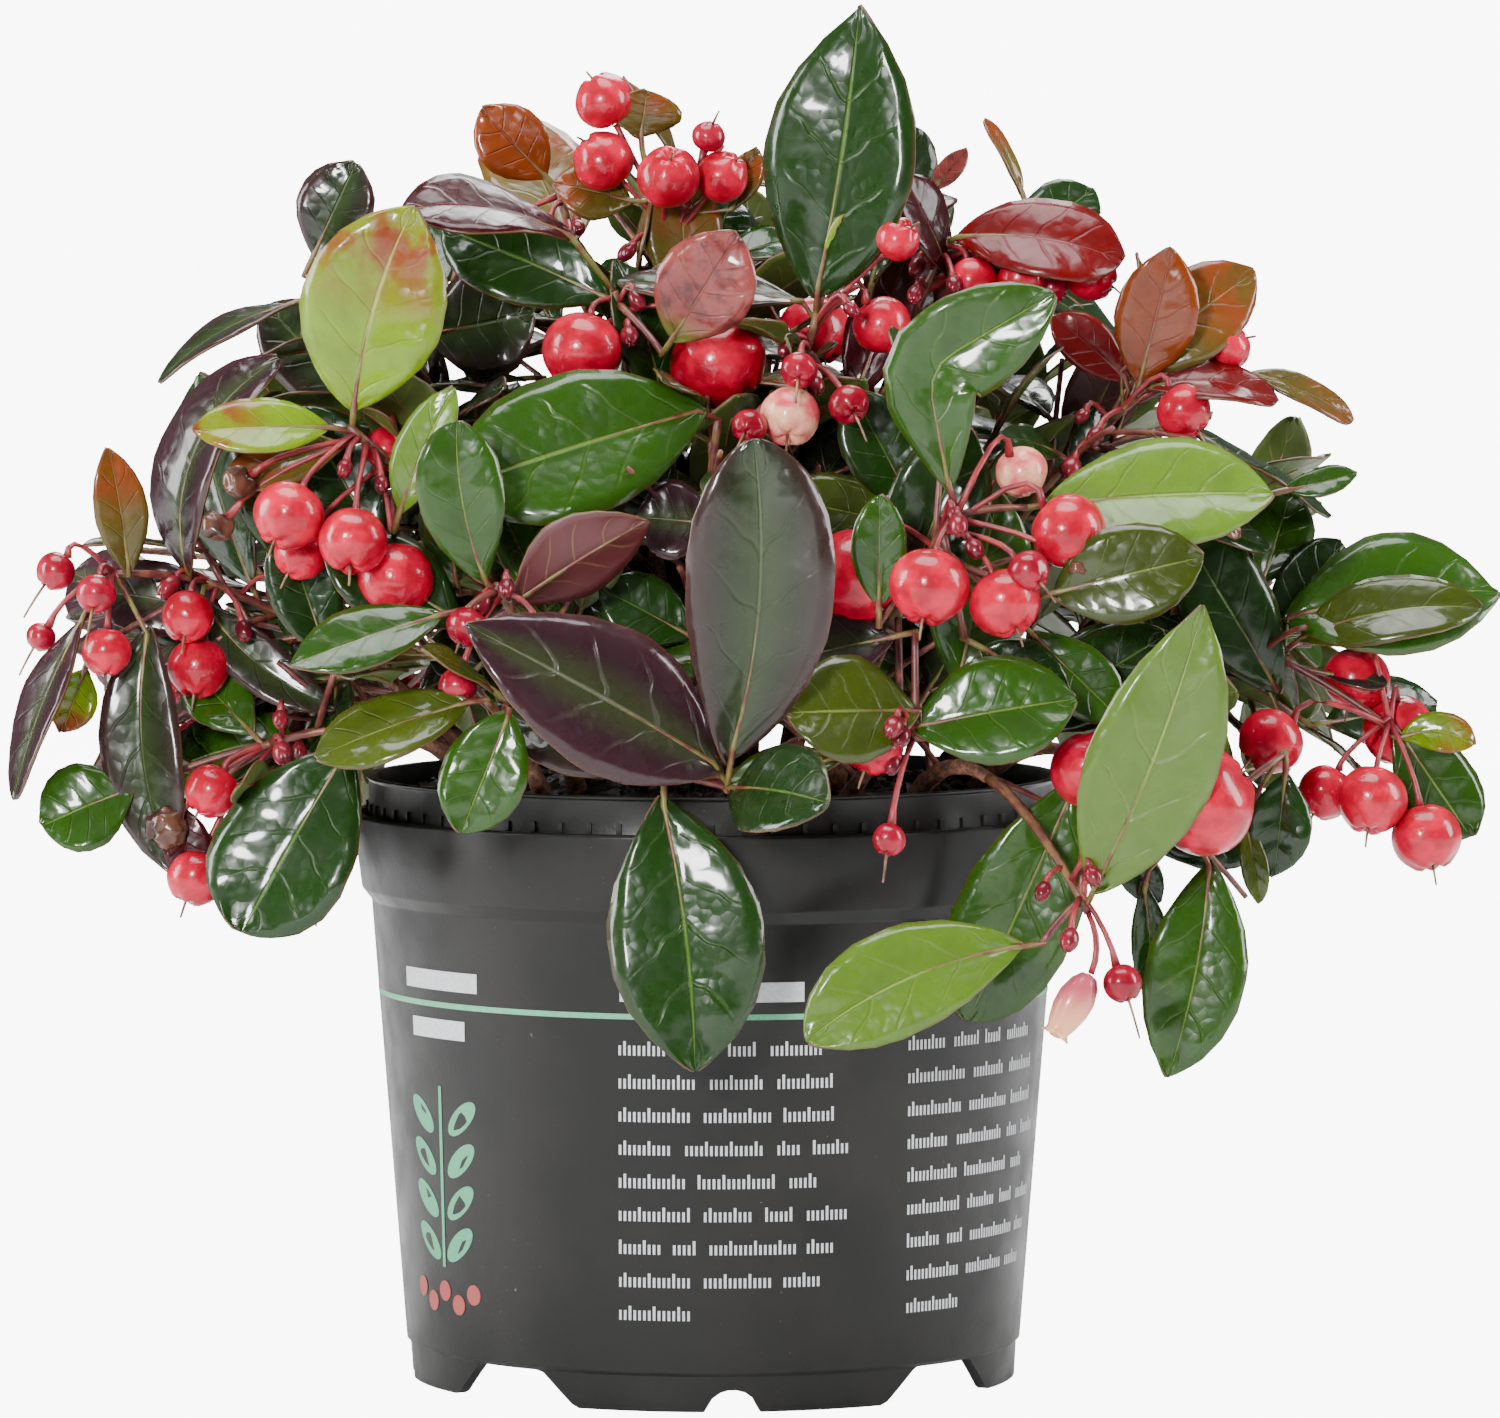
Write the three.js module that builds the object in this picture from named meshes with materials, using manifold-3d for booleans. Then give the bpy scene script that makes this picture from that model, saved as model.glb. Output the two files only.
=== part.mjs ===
// A wintergreen in its nursery pot: a low evergreen shrub with leathery leaves and red berries.
// Millimetres, +Z up. The origin is the middle of the pot's underside, and -Y is the plant's front.
import * as THREE from 'three';
import { mergeVertices } from 'three/addons/utils/BufferGeometryUtils.js';
import Module from 'manifold-3d';

const wasm = await Module();
wasm.setup();
const { Manifold, Mesh } = wasm;

// Driving dimensions of the pot
const POT_TOP_R = 60; // a 12 cm pot, across the top of its skirt
const POT_H = 100;
const FOOT_R = 50.2;
const FOOT_H = 6;
const WALL = 1.2;
const WALL_FOOT_R = 51.1; // the wall just above the feet
const SHOULDER_R = 56.8; // where the wall steps out into the skirt
const SHOULDER_Z = 79.5;
const SKIRT_FOOT_R = 58.4;
const SKIRT_FOOT_Z = 81.5;
const SKIRT_TOP_Z = 94;
const COLLAR_R = 57.4; // the stacking collar above the skirt
const FLOOR_Z = 7; // the underside of the floor between the feet
const DISH_R = 9; // the middle of the floor dips to the ground
const FEET = 4;
const FOOT_TURN = 3.8; // degrees that the front foot is turned to the right
const GAP_AT_TOP = 15; // degrees from one foot to the next, at their top
const GAP_AT_GROUND = 30;
const ARCH_W = 9; // the notch in the middle of each foot
const ARCH_H = 3.6;
const DRAINS = 6;
const DRAIN_R = 3.5;
const DRAIN_AT_R = 34;
const POT_SIDES = 30;

// Driving dimensions of the soil and the stems
const SOIL_MID_Z = 101.5;
const SOIL_EDGE_Z = 97;
const SOIL_R = 55.7;
const GAP = 0.3; // between pieces that touch
const FINEST = 0.05; // edges shorter than this are closed up
const STEM_R = [1.7, 1.0]; // a stem at the soil and where it enters its leaves
const SPRAY_R = [0.95, 0.7]; // the same stem inside the leaves, and its tip
const TWIG_R = [0.7, 0.6]; // a side twig where it starts and ends
const STEM_SHARE = 0.5; // of a stem's length that is bare
const ARM_AT = 0.97; // of its stem's length, where a side twig starts
const HANGS = -12; // a side twig that drops further than this from a high tip starts lower down
const HIGH = 140;
const LEAF_L = [29, 41]; // leaves of the rule, shortest and longest
const PETIOLE = 3; // a leaf's stalk
const STALK_R = 0.5; // of leaves and berries
const LEAST_BERRY = 7; // smaller ones don't show from a step away
const LEAF_T = 0.6; // a leaf's thickness at the midrib
const FOLD = 12; // degrees that the halves of a leaf rise from the midrib
const WIDE = [0.9, 0.7]; // how full a leaf's outline is towards its stalk and its tip
const LEAVES_AT = 0.99; // of its stem's length, where the first posed leaf sits
const LEAF_STEP = 0.018; // from that one down to the next
const STALKS_AT = 0.98; // the same for berries
const STALK_STEP = 0.035;
const GOLDEN = 137.508; // degrees from one leaf to the next round a stem

const COLOURS = {
  pot: '#1d1d1f', soil: '#1b1410', stem: '#6b3a2c', leaf: '#2f5a22', dark_leaf: '#3a2c30', red_leaf: '#6d2420',
};

const rad = THREE.MathUtils.degToRad;
const vec = (x, y, z) => new THREE.Vector3(x, y, z);
const UP = vec(0, 0, 1);

// Where things are is given from a point as [right, towards the front, up].
const shift = (from, [right, front, up]) => vec(from.x + right, from.y - front, from.z + up);

// The shoots. A stem leaves the soil at foot, [right, front], and its leaves gather at node, [right, front,
// up]. A leaf is [clock, front, length, width, turn, lift, curl, bend]. It points as a clock's hand does, in
// degrees from 12, and leans to the front by the second angle. Its upper face looks to the front, turned right
// and lifted to the sky. curl arches it along its length, and bend turns it sideways. A berry is
// [right, front, up, diameter] from the node. An arm is a side twig to a point given from the node. fill is
// how many more leaves grow by the rule.
const SHOOTS = [
  {
    name: 'crest', foot: [4, 12], node: [17, 30, 177], fill: 4,
    leaves: [
      [8.5, 4, 48.5, 26, -22, 10, 14, -12, -0.7, 0], [-84, -5, 31, 12, 0, 60, 10, 0, 1.5, 3],
      [20, 22, 12, 5, 0, 0, 0, 0, 1.6, 6],
    ],
    fruit: [
      [13, 6, 12, 7.6], [10.5, -4, -2, 10], [-3, 13, -9, 6.3], [5, 14, -14.5, 6.7], [-4.5, 12, -16.5, 10],
      [-11, 16, -18, 6],
    ],
  },
  {
    name: 'maroon', foot: [-6, 10], node: [-16, 28, 180.5], fill: 4,
    leaves: [[-81, 12, 29.5, 19, -10, 62, 45, 0, -4.5, 8], [-67, -12, 31, 17, 0, 22, 18, 0, 1.8, -1]],
    fruit: [[-5.1, 4, -9.5, 13.4], [17, 0, -11.5, 16.5]],
    arms: [
      { to: [8, 8, -10], leaves: [[32, 15, 21.5, 16, 10, 15, 35, 0]] },
    ],
  },
  {
    name: 'topfruit', foot: [-2, -4], node: [-9.5, 5, 196], fill: 6,
    leaves: [
      [-77, 5, 13.5, 11, 0, 30, 10, 0, -1, -1], [24, 5, 11, 6, 0, 40, 0, 0, 11, -3],
      [-108, 10, 12.5, 6.5, 20, 10, 0, 0, -1, 16],
    ],
    fruit: [[-8.5, 0, 15.5, 10], [-8.5, 1, 5.6, 10.4], [2.2, 8, 3, 10.8], [11, 3, 3, 9], [8.8, 4, 9.6, 5.6]],
  },
  {
    name: 'yellow', foot: [-18, 16], node: [-58.5, 45, 159], fill: 3,
    leaves: [
      [17, 10, 35.3, 23.5, -5, 5, 12, 20], [-91, 12, 22.5, 10.5, 0, 30, 15, 0, -1.5, 1],
      [-106, -4, 20, 10, 0, 30, 10, 0],
    ],
    fruit: [
      [-9.3, 8, -14, 11.6], [1.1, 10, -18, 11.3], [7.6, 3, -24.5, 12.5], [-7.7, 0, -20.5, 9], [6, -10, -4, 8],
    ],
    arms: [
      { to: [7.5, 3, -16.5], leaves: [[24, 6, 22.5, 10, -20, 20, 30, 0]] },
    ],
  },
  {
    name: 'dusk', foot: [-20, 2], node: [-53, 12, 174], fill: 4,
    leaves: [[78, 8, 18, 19, 5, 10, 10, 0, 2.8, -1]],
    arms: [
      { to: [-14, 0, 9], leaves: [[25, 5, 17.3, 13.2, -10, 10, 10, 0]] },
      { to: [-12.5, 0, 5], leaves: [[-120, 8, 27, 10, -20, 72, 40, 0]] },
    ],
  },
  {
    name: 'russet', foot: [-10, -16], node: [-26, -12, 197.5], fill: 7,
    leaves: [[-44, 5, 16, 12, -10, 10, 20, 0]],
    fruit: [[-12, -4, -10.5, 9]],
  },
  {
    name: 'leftarm', foot: [-36, 14], node: [-84, 30, 134], fill: 3,
    leaves: [[22, 4, 44, 20, -55, 15, 95, 0, -0.4, -2.8], [129, 14, 30, 9, -10, 25, 10, -40, -2.4, 0]],
    fruit: [[-1, 7, -6, 9], [0.5, 4, -14.5, 10.4]],
    arms: [
      {
        to: [-13, 8, 1],
        leaves: [
          [174, 6, 41, 14, -15, 15, 12, -33, 6.4, -5.4], [-159, 6, 33, 14, -60, 20, 20, 0, -2.8, -3.5],
          [-9, 4, 21, 9, 20, 10, 20, 0, 3, -3],
        ],
        fruit: [[-9, 3, 0.5, 6.5], [-2.3, 6, -3, 6.8], [-0.8, 4, -12.5, 8.6], [-12, -4, -10.5, 5]],
      },
    ],
  },
  {
    name: 'leftlow', foot: [-37, 27], node: [-73, 40, 107], fill: 3,
    leaves: [[-47, 5, 17, 11, 0, 20, 10, 0]],
    fruit: [[-8, 2, -7, 9], [-10.5, 2, -21, 9.7], [8, -3, -23, 8.5]],
    arms: [
      { to: [16, 12, 3.8], leaves: [[-150, 8, 35, 24, -10, 15, 10, 0, 0.5, 0]] },
      {
        to: [-18.5, 0, -6],
        leaves: [[-113, 5, 16, 15, -5, 20, 15, 0, 0.5, 0.5], [170, 4, 13, 8, 0, 10, 50, 0, 5, -1]],
      },
    ],
  },
  {
    name: 'frontleft', foot: [-22, 34], node: [-34.5, 58, 134], fill: 3,
    leaves: [[-10, 8, 27, 14, 0, 5, 18, 25, -0.5, -2], [58, 6, 26, 16, 15, 145, 15, 0, -0.4, -4]],
    fruit: [[-4.6, 3, -6.4, 6.8], [-6, 3, -16, 6.6]],
    arms: [
      { to: [-4.5, 3, -3.7], leaves: [[-108, 10, 26, 12, 0, 40, 12, 0, -1, 0]] },
    ],
  },
  {
    name: 'rimleft', foot: [-27, 43], node: [-36, 64, 116], fill: 1,
    leaves: [[-110, 6, 26, 14, -5, 45, 15, 0, 0, 0.7], [-158, 3, 21, 14, 0, 12, 8, 0, 4.8, 1.5]],
  },
  {
    name: 'darkpair', foot: [4, 44], node: [2.5, 61, 101.5], fill: 1,
    leaves: [[4.5, 12, 54, 24, 0, 5, 14, -25, -0.8, 1.5], [-60, 12, 48.5, 24, -5, 25, 16, 0, 1.8, 1.5]],
    arms: [
      { to: [-10, 2, 2.2], leaves: [[173, 7, 44.5, 25, 0, 8, 12, 12, -1.2, 0]] },
    ],
  },
  {
    name: 'rimright', foot: [22, 42], node: [33, 57, 110], fill: 2,
    leaves: [
      [-90, 16, 22, 18, 0, 20, 10, 0, 3, 4], [80, 4, 27, 18, 0, 20, 12, 0, -3.8, 0.8],
      [-103, 10, 19, 9, 0, 40, 20, 0, -8.6, -3],
    ],
    fruit: [[-7, 0, -2, 9.9], [-4.8, 10, -16, 5.6]],
    arms: [
      { to: [-0.5, -2, 16.3], leaves: [[-102, 0, 22, 13, 0, 20, 10, 0]] },
    ],
  },
  {
    name: 'rightfruit', foot: [20, 30], node: [39.5, 55, 146], fill: 3,
    leaves: [[24, 6, 43, 17, 0, 15, 10, 35, -0.5, 0]],
    fruit: [
      [-4.8, 6, -12, 13.5], [7.2, 6, -14.6, 11.5], [10.9, 8, -9.6, 7.2], [17.6, 1, -3.4, 12.8],
      [-16.3, -5, -11, 16.5],
    ],
    arms: [
      { to: [-12.8, 2, -18.3], leaves: [[0, 6, 18, 9, 0, 5, 10, 0]] },
      { to: [11, -8, 0], leaves: [[87, 2, 37, 19.5, 5, 30, 20, 0]] },
      { to: [12, 4, -14], leaves: [[76, 6, 25, 16, 0, 10, 20, 0]] },
      { to: [-5, -22, -4], leaves: [[-28, 0, 22, 13, 0, 10, 10, 0], [-78, 4, 20, 12, 0, 20, 10, 0]] },
    ],
  },
  {
    name: 'bronze', foot: [26, 12], node: [69, 25, 163], fill: 4,
    leaves: [
      [13, 10, 23.2, 13.5, 0, 8, 10, 0, 0.5, 0], [54, -8, 28, 15, 10, 20, 20, 0, -3.4, 4],
      [96, 8, 22.5, 12, 0, 60, 60, 0, 1.7, 2.9], [-49, 2, 16.5, 8.5, -10, 20, 20, 0, 4.6, 4],
    ],
    fruit: [[15.4, -3, 8.3, 7.4], [7.7, 4, -2, 9.3]],
    arms: [
      { to: [15.5, -10, 4.5], leaves: [[115, -4, 20, 7.5, 20, 50, 40, 0]] },
    ],
  },
  {
    name: 'scarlet', foot: [12, -2], node: [39, 15, 189], fill: 6,
    leaves: [
      [98, 8, 29, 16, 0, 35, 55, 0, -1.5, 0.4], [-26, 12, 19, 12, 30, 45, 20, 0, 1.8, -7],
      [42, -12, 9.5, 4, 20, 20, 0, 0, -3.7, 8.7],
    ],
    fruit: [[3.6, 3, -7, 8.5], [11.5, 4, -6.6, 8], [16.8, 2, -8.2, 5.2], [23, 2, -6, 9]],
    arms: [
      { to: [13, -8, 4.5], leaves: [[-27, -8, 14, 5, 60, 10, 20, 0]] },
    ],
  },
  {
    name: 'farright', foot: [40, 8], node: [95, 15, 120], fill: 3,
    leaves: [
      [83, -4, 37, 22, 0, 30, 45, 0, -3.4, 5.5], [80, 8, 32, 13, 0, 35, 60, 0, 1, 1.8],
      [-31, 4, 31, 15.5, 0, 20, 20, 0, 2.8, -8.7], [-66, 8, 18, 11, 0, 40, 10, 0, 0, -1],
      [100, 20, 11, 5, 0, 50, 20, 0, 8.5, -2.6], [-150, 16, 9, 8, 0, 10, 10, 0, 6.5, -7.6],
    ],
    arms: [
      {
        to: [16, 5, -11],
        leaves: [[145, -6, 22, 14, 5, 20, 10, 0, -0.7, 2], [95, 14, 13, 7, 0, 20, 30, 60, -1, -3.3]],
        fruit: [
          [-19.7, 5, -2, 10.7], [-4.9, -7, 7.4, 11.5], [2, -7, -1, 12.3], [-3.3, 7, -11.5, 11.8],
          [5.7, 6, -17.7, 11.6], [-10.5, 1, -10.7, 9.5],
        ],
      },
    ],
  },
  {
    name: 'lowright', foot: [33, 35], node: [60, 62, 82], fill: 1,
    leaves: [[20.5, 8, 50, 21, 8, 10, 12, -12, -0.3, 0]],
    fruit: [[0.8, -12, 21.8, 13], [18.3, -6, 17.5, 18.5], [5.4, 4, -11, 6.5], [-4, 4, -13, 7]],
    arms: [
      { to: [-7.5, 4, -4.7], leaves: [[-113, 8, 38.5, 17.5, 0, 15, 14, -30]] },
      { to: [0, -14, 23], leaves: [[204, -2, 43, 20, 5, 12, 10, 0]] },
    ],
  },
  {
    name: 'shade', foot: [43, 21], node: [78, 44, 92], fill: 1,
    leaves: [[191, 4, 36, 16.5, 0, 10, 10, 15, 3, -0.5], [178, -4, 18.5, 6, 0, 15, 10, 20, -7.8, -5]],
    arms: [
      {
        to: [14.7, -6, 13.7],
        leaves: [[186, 0, 17, 10.5, 0, 15, 10, 0, 0.5, 0], [170, 3, 14, 4.5, 0, 15, 10, 0, -6.8, -7.4]],
      },
    ],
  },
  {
    name: 'bigleaf', foot: [-4, 28], node: [1, 41, 160], fill: 2,
    leaves: [[-107, 10, 42, 25, 0, 20, 16, 0, 1, 3]],
    arms: [
      { to: [2, 4, -17], leaves: [[-85, 0, 12.5, 13.5, 0, 20, 10, 0]] },
      { to: [-1.5, 3, -36.5], leaves: [[-62, 0, 17, 12, 0, 20, 10, 0]] },
    ],
  },
  { name: 'backleft', foot: [-32, -14], node: [-66, -28, 150], fill: 8, berries: 2 },
  { name: 'backfarleft', foot: [-40, -6], node: [-88, -8, 122], fill: 7, berries: 2 },
  { name: 'backlowleft', foot: [-30, -32], node: [-58, -68, 118], fill: 8, berries: 2 },
  { name: 'backmiddle', foot: [-6, -42], node: [-14, -78, 132], fill: 9, berries: 2 },
  { name: 'backtop', foot: [6, -24], node: [10, -40, 180], fill: 10, berries: 2 },
  { name: 'backright', foot: [24, -30], node: [48, -62, 148], fill: 9, berries: 2 },
  { name: 'backfarright', foot: [38, -14], node: [88, -36, 126], fill: 7, berries: 2 },
];

// The same numbers come out in the same order each time.
function seeded(seed) {
  let state = seed;
  return () => {
    state = (state * 48271) % 2147483647;
    return state / 2147483647;
  };
}

// A closed solid from rings of points that turn the same way. A ring may have fewer points than the next.
function loft(rings) {
  const faces = [];
  let start = 0;
  rings.forEach((ring, i) => {
    const next = rings[i + 1];
    const n = Math.max(ring.length, next ? next.length : 0);
    const own = (k) => start + Math.floor(((k % n) * ring.length) / n);
    const beyond = (k) => start + ring.length + Math.floor(((k % n) * next.length) / n);
    for (let k = 0; next && k < n; k++) {
      if (own(k) !== own(k + 1)) faces.push([own(k), own(k + 1), beyond(k + 1)]);
      if (beyond(k) !== beyond(k + 1)) faces.push([own(k), beyond(k + 1), beyond(k)]);
    }
    for (let k = 1; k < ring.length - 1; k++) {
      if (i === 0) faces.push([start, start + k + 1, start + k]);
      if (!next) faces.push([start, start + k, start + k + 1]);
    }
    start += ring.length;
  });
  return new Manifold(new Mesh({
    numProp: 3,
    vertProperties: new Float32Array(rings.flat().flatMap((p) => p.toArray())),
    triVerts: new Uint32Array(faces.flat()),
  }));
}

// A three.js geometry as a solid that can be cut and joined, and back again.
function solidOf(geometry) {
  const bare = geometry.clone();
  bare.deleteAttribute('normal');
  bare.deleteAttribute('uv');
  const merged = mergeVertices(bare, 1e-4);
  return new Manifold(new Mesh({
    numProp: 3,
    vertProperties: new Float32Array(merged.attributes.position.array),
    triVerts: new Uint32Array(merged.index.array),
  }));
}

function geometryOf(solid) {
  const { numProp, vertProperties, triVerts } = solid.getMesh();
  const geometry = new THREE.BufferGeometry();
  const points = new THREE.InterleavedBuffer(vertProperties, numProp);
  geometry.setAttribute('position', new THREE.InterleavedBufferAttribute(points, 3, 0));
  geometry.setIndex(new THREE.BufferAttribute(triVerts, 1));
  return geometry;
}

// A round shape about the pot's axis, from its half outline as [radius, height].
function turned(outline, sides) {
  const points = outline.map(([r, z]) => new THREE.Vector2(r, z));
  return solidOf(new THREE.LatheGeometry(points, sides).rotateX(Math.PI / 2));
}

// The pot: a thin wall, a skirt that steps out, a stacking collar, four feet and a dish in the floor
function makePot() {
  const shell = turned([
    [0, 0], [DISH_R, 0], [DISH_R + 2, FLOOR_Z], [FOOT_R - 2, FLOOR_Z], [FOOT_R - 2.2, 0], [FOOT_R, 0],
    [WALL_FOOT_R, FOOT_H], [SHOULDER_R, SHOULDER_Z], [SKIRT_FOOT_R, SKIRT_FOOT_Z],
    [POT_TOP_R, SKIRT_TOP_Z], [COLLAR_R, SKIRT_TOP_Z], [COLLAR_R, POT_H], [COLLAR_R - WALL, POT_H],
    [COLLAR_R - WALL, SKIRT_TOP_Z - WALL], [POT_TOP_R - WALL, SKIRT_TOP_Z - WALL],
    [SHOULDER_R - WALL, SHOULDER_Z + 0.5], [WALL_FOOT_R - WALL, FLOOR_Z + WALL],
    [DISH_R + 1, FLOOR_Z + WALL], [DISH_R - 1, WALL], [0, WALL],
  ], POT_SIDES);
  const cutters = [];
  for (let i = 0; i < FEET; i++) {
    const middle = FOOT_TURN + (i * 360) / FEET;
    // The gap between two feet is wider at the ground.
    const wedge = [[GAP_AT_GROUND, -1], [GAP_AT_TOP, FOOT_H]].map(([angle, z]) => (
      [[-1, DISH_R + 8], [-1, 70], [1, 70], [1, DISH_R + 8]].map(([side, r]) => {
        const turn = rad(middle + 180 / FEET + (side * angle) / 2);
        return vec(r * Math.sin(turn), -r * Math.cos(turn), z);
      })));
    cutters.push(loft(wedge));
    const shape = new THREE.Shape();
    shape.moveTo(-ARCH_W / 2, -1);
    shape.lineTo(ARCH_W / 2, -1);
    shape.quadraticCurveTo(ARCH_W / 3, ARCH_H, 0, ARCH_H);
    shape.quadraticCurveTo(-ARCH_W / 3, ARCH_H, -ARCH_W / 2, -1);
    const notch = new THREE.ExtrudeGeometry(shape, { depth: 16, bevelEnabled: false, curveSegments: 3 });
    notch.rotateX(Math.PI / 2).translate(0, 8 - FOOT_R, 0).rotateZ(rad(middle));
    cutters.push(solidOf(notch));
  }
  for (let i = 0; i < DRAINS; i++) {
    const turn = ((i + 0.5) * 2 * Math.PI) / DRAINS;
    const hole = new THREE.CylinderGeometry(DRAIN_R, DRAIN_R, 6, 8).rotateX(Math.PI / 2);
    hole.translate(DRAIN_AT_R * Math.cos(turn), DRAIN_AT_R * Math.sin(turn), FLOOR_Z);
    cutters.push(solidOf(hole));
  }
  return shell.subtract(Manifold.union(cutters));
}

// The soil fills the pot and mounds a little in the middle.
const soilHeight = (r) => SOIL_MID_Z - (SOIL_MID_Z - SOIL_EDGE_Z) * Math.min(1, r / SOIL_R) ** 2;

function makeSoil() {
  const low = FLOOR_Z + WALL + GAP;
  const top = [1, 0.7, 0.35].map((share) => [SOIL_R * share, soilHeight(SOIL_R * share)]);
  return turned([
    [0, WALL + GAP], [DISH_R - 1.4, WALL + GAP], [DISH_R + 0.6, low], [WALL_FOOT_R - WALL - GAP - 0.5, low],
    [SHOULDER_R - WALL - GAP, SHOULDER_Z - 2], ...top, [0, SOIL_MID_Z],
  ], POT_SIDES);
}

// Points round an axis, starting on its right
function ringAt(middle, axis, r, sides) {
  const right = vec(1, 0.3, 0).cross(axis).normalize();
  const front = axis.clone().cross(right).normalize();
  return Array.from({ length: sides }, (_, k) => {
    const turn = (2 * Math.PI * k) / sides;
    const out = right.clone().multiplyScalar(Math.cos(turn)).addScaledVector(front, Math.sin(turn));
    return middle.clone().addScaledVector(out, r);
  });
}

// A tapering limb along a curve from share a to share b of its length
function limb(curve, [a, b], [ra, rb], sides, steps) {
  const rings = Array.from({ length: steps + 1 }, (_, i) => {
    const at = a + ((b - a) * i) / steps;
    const axis = at === 0 ? UP : curve.getTangent(at);
    return ringAt(curve.getPoint(at), axis, ra + ((rb - ra) * i) / steps, sides);
  });
  return loft(rings);
}

// The curve of a shoot's stem, which leaves the soil steeply and arches out to its node
function stemCurve({ foot, node }) {
  const [x, front] = foot;
  const start = vec(x, -front, soilHeight(Math.hypot(x, front)) + GAP + 0.2);
  const end = vec(node[0], -node[1], node[2]);
  const out = Math.hypot(end.x - start.x, end.y - start.y);
  const bend = start.clone().lerp(end, 0.35);
  bend.z = start.z + Math.max(0.6 * (end.z - start.z), 0.42 * out);
  return new THREE.QuadraticBezierCurve3(start, bend, end);
}

// Where along its stem a side twig starts
function armStart({ curve, tip }, [, , up]) {
  const low = 1 + (0.9 * up) / (tip.z - SOIL_MID_Z + 20);
  const hangs = up < HANGS && tip.z > HIGH;
  return curve.getPoint(hangs ? THREE.MathUtils.clamp(low, STEM_SHARE + 0.1, 1) : ARM_AT);
}

// Which way a posed leaf points, and which way its upper face looks
function aim(clock, front) {
  const c = rad(clock);
  const f = rad(front);
  return vec(Math.cos(f) * Math.sin(c), -Math.sin(f), Math.cos(f) * Math.cos(c));
}

function look(turn, lift) {
  const t = rad(turn);
  const l = rad(lift);
  return vec(Math.cos(l) * Math.sin(t), -Math.cos(l) * Math.cos(t), Math.sin(l));
}

// Half the width of a leaf at a share of its length, as a share of its widest half
function leafHalf(s) {
  const [low, high] = WIDE;
  const widest = low / (low + high);
  return (s / widest) ** low * ((1 - s) / (1 - widest)) ** high;
}

// A leaf is a thin lens on a stalk: each ring holds its left edge, midrib, right edge and underside.
function leaf({ base, along, face, length, width, curl = 0, bend = 0, offset = [0, 0, 0] }, stations) {
  const side = along.clone().cross(face).normalize();
  const up = side.clone().cross(along).normalize();
  const heading = (s) => {
    const pitch = rad(curl) * (0.5 - s);
    const yaw = rad(bend) * (s - 0.5);
    const flat = along.clone().multiplyScalar(Math.cos(yaw)).addScaledVector(side, Math.sin(yaw));
    const ahead = flat.clone().multiplyScalar(Math.cos(pitch)).addScaledVector(up, Math.sin(pitch));
    const across = ahead.clone().cross(up).normalize();
    return { ahead, across, above: across.clone().cross(ahead) };
  };
  const at = base.clone();
  const ring = (s, half, thick) => {
    const { across, above } = heading(s);
    const rise = half * Math.sin(rad(FOLD));
    const reach = half * Math.cos(rad(FOLD));
    return [
      at.clone().addScaledVector(across, -reach).addScaledVector(above, rise),
      at.clone().addScaledVector(above, thick / 2),
      at.clone().addScaledVector(across, reach).addScaledVector(above, rise),
      at.clone().addScaledVector(above, -thick / 2),
    ];
  };
  const stalk = () => ring(0, STALK_R, 2 * STALK_R).filter((_, k) => k !== 1);
  const rings = [stalk()];
  at.copy(shift(base, offset)).addScaledVector(heading(0).ahead, PETIOLE);
  rings.push(stalk());
  const core = [[at.clone()]];
  let last = 0;
  for (const s of [...stations, 1]) {
    const step = (s - last) / 4;
    for (let k = 0; k < 4; k++) at.addScaledVector(heading(last + (k + 0.5) * step).ahead, step * length);
    rings.push(s < 1 ? ring(s, (width / 2) * leafHalf(s), LEAF_T) : [at.clone()]);
    core.push(rings[rings.length - 1]);
    last = s;
  }
  core[0] = [core[0][0].lerp(centre(core[1]), 0.5)];
  return { solid: loft(rings), core: loft(core) };
}

function centre(points) {
  return points.reduce((sum, p) => sum.add(p), vec(0, 0, 0)).multiplyScalar(1 / points.length);
}

// A berry hangs from a stalk that leaves the twig, bends and widens into it.
function berry(from, middle, diameter) {
  const r = diameter / 2;
  const elbow = middle.clone().lerp(from, 0.4);
  elbow.setZ(Math.max(middle.z + r + 1, (from.z + middle.z) / 2 + 1));
  const axis = middle.clone().sub(elbow).normalize();
  const out = elbow.clone().sub(from).normalize();
  const slice = (degrees, sides) => {
    const at = middle.clone().addScaledVector(axis, -r * Math.cos(rad(degrees)));
    return ringAt(at, axis, r * Math.sin(rad(degrees)), sides);
  };
  const girth = diameter > 11 ? [45, 90, 135] : [55, 125];
  return loft([
    ringAt(from, out, STALK_R, 3), ringAt(elbow, axis, STALK_R, 3), slice(12, 3),
    ...girth.map((degrees) => slice(degrees, 6)), [middle.clone().addScaledVector(axis, r)],
  ]);
}

// Solids that are already in place, each with the name of the node that owns it
const placed = [];
const reachOf = (solid) => {
  const { min, max } = solid.boundingBox();
  return new THREE.Box3(vec(...min), vec(...max));
};

function place(owner, solid, core = null) {
  placed.push({ owner, solid, core, box: reachOf(solid) });
}

// Whether a piece of another node is too near, or a blade of its own node would be cut
function isInTheWay(owner, solid, core = null) {
  const box = reachOf(solid).expandByScalar(GAP);
  return placed.some((other) => {
    if (!box.intersectsBox(other.box)) return false;
    if (other.owner !== owner) return solid.minGap(other.solid, GAP) < GAP * 0.8;
    return core && other.core && !core.intersect(other.core).isEmpty();
  });
}

// Adds a piece to a spray if it keeps to the spray's own space.
function grow(spray, solid, core = null) {
  if (isInTheWay(spray.name, solid, core)) return;
  place(spray.name, solid, core);
  spray.pieces.push(solid);
}

// Where along its length a small and a large leaf has its rings
const stationsFor = (length) => (length > 36 ? [0.22, 0.52, 0.8] : [0.3, 0.72]);

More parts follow.
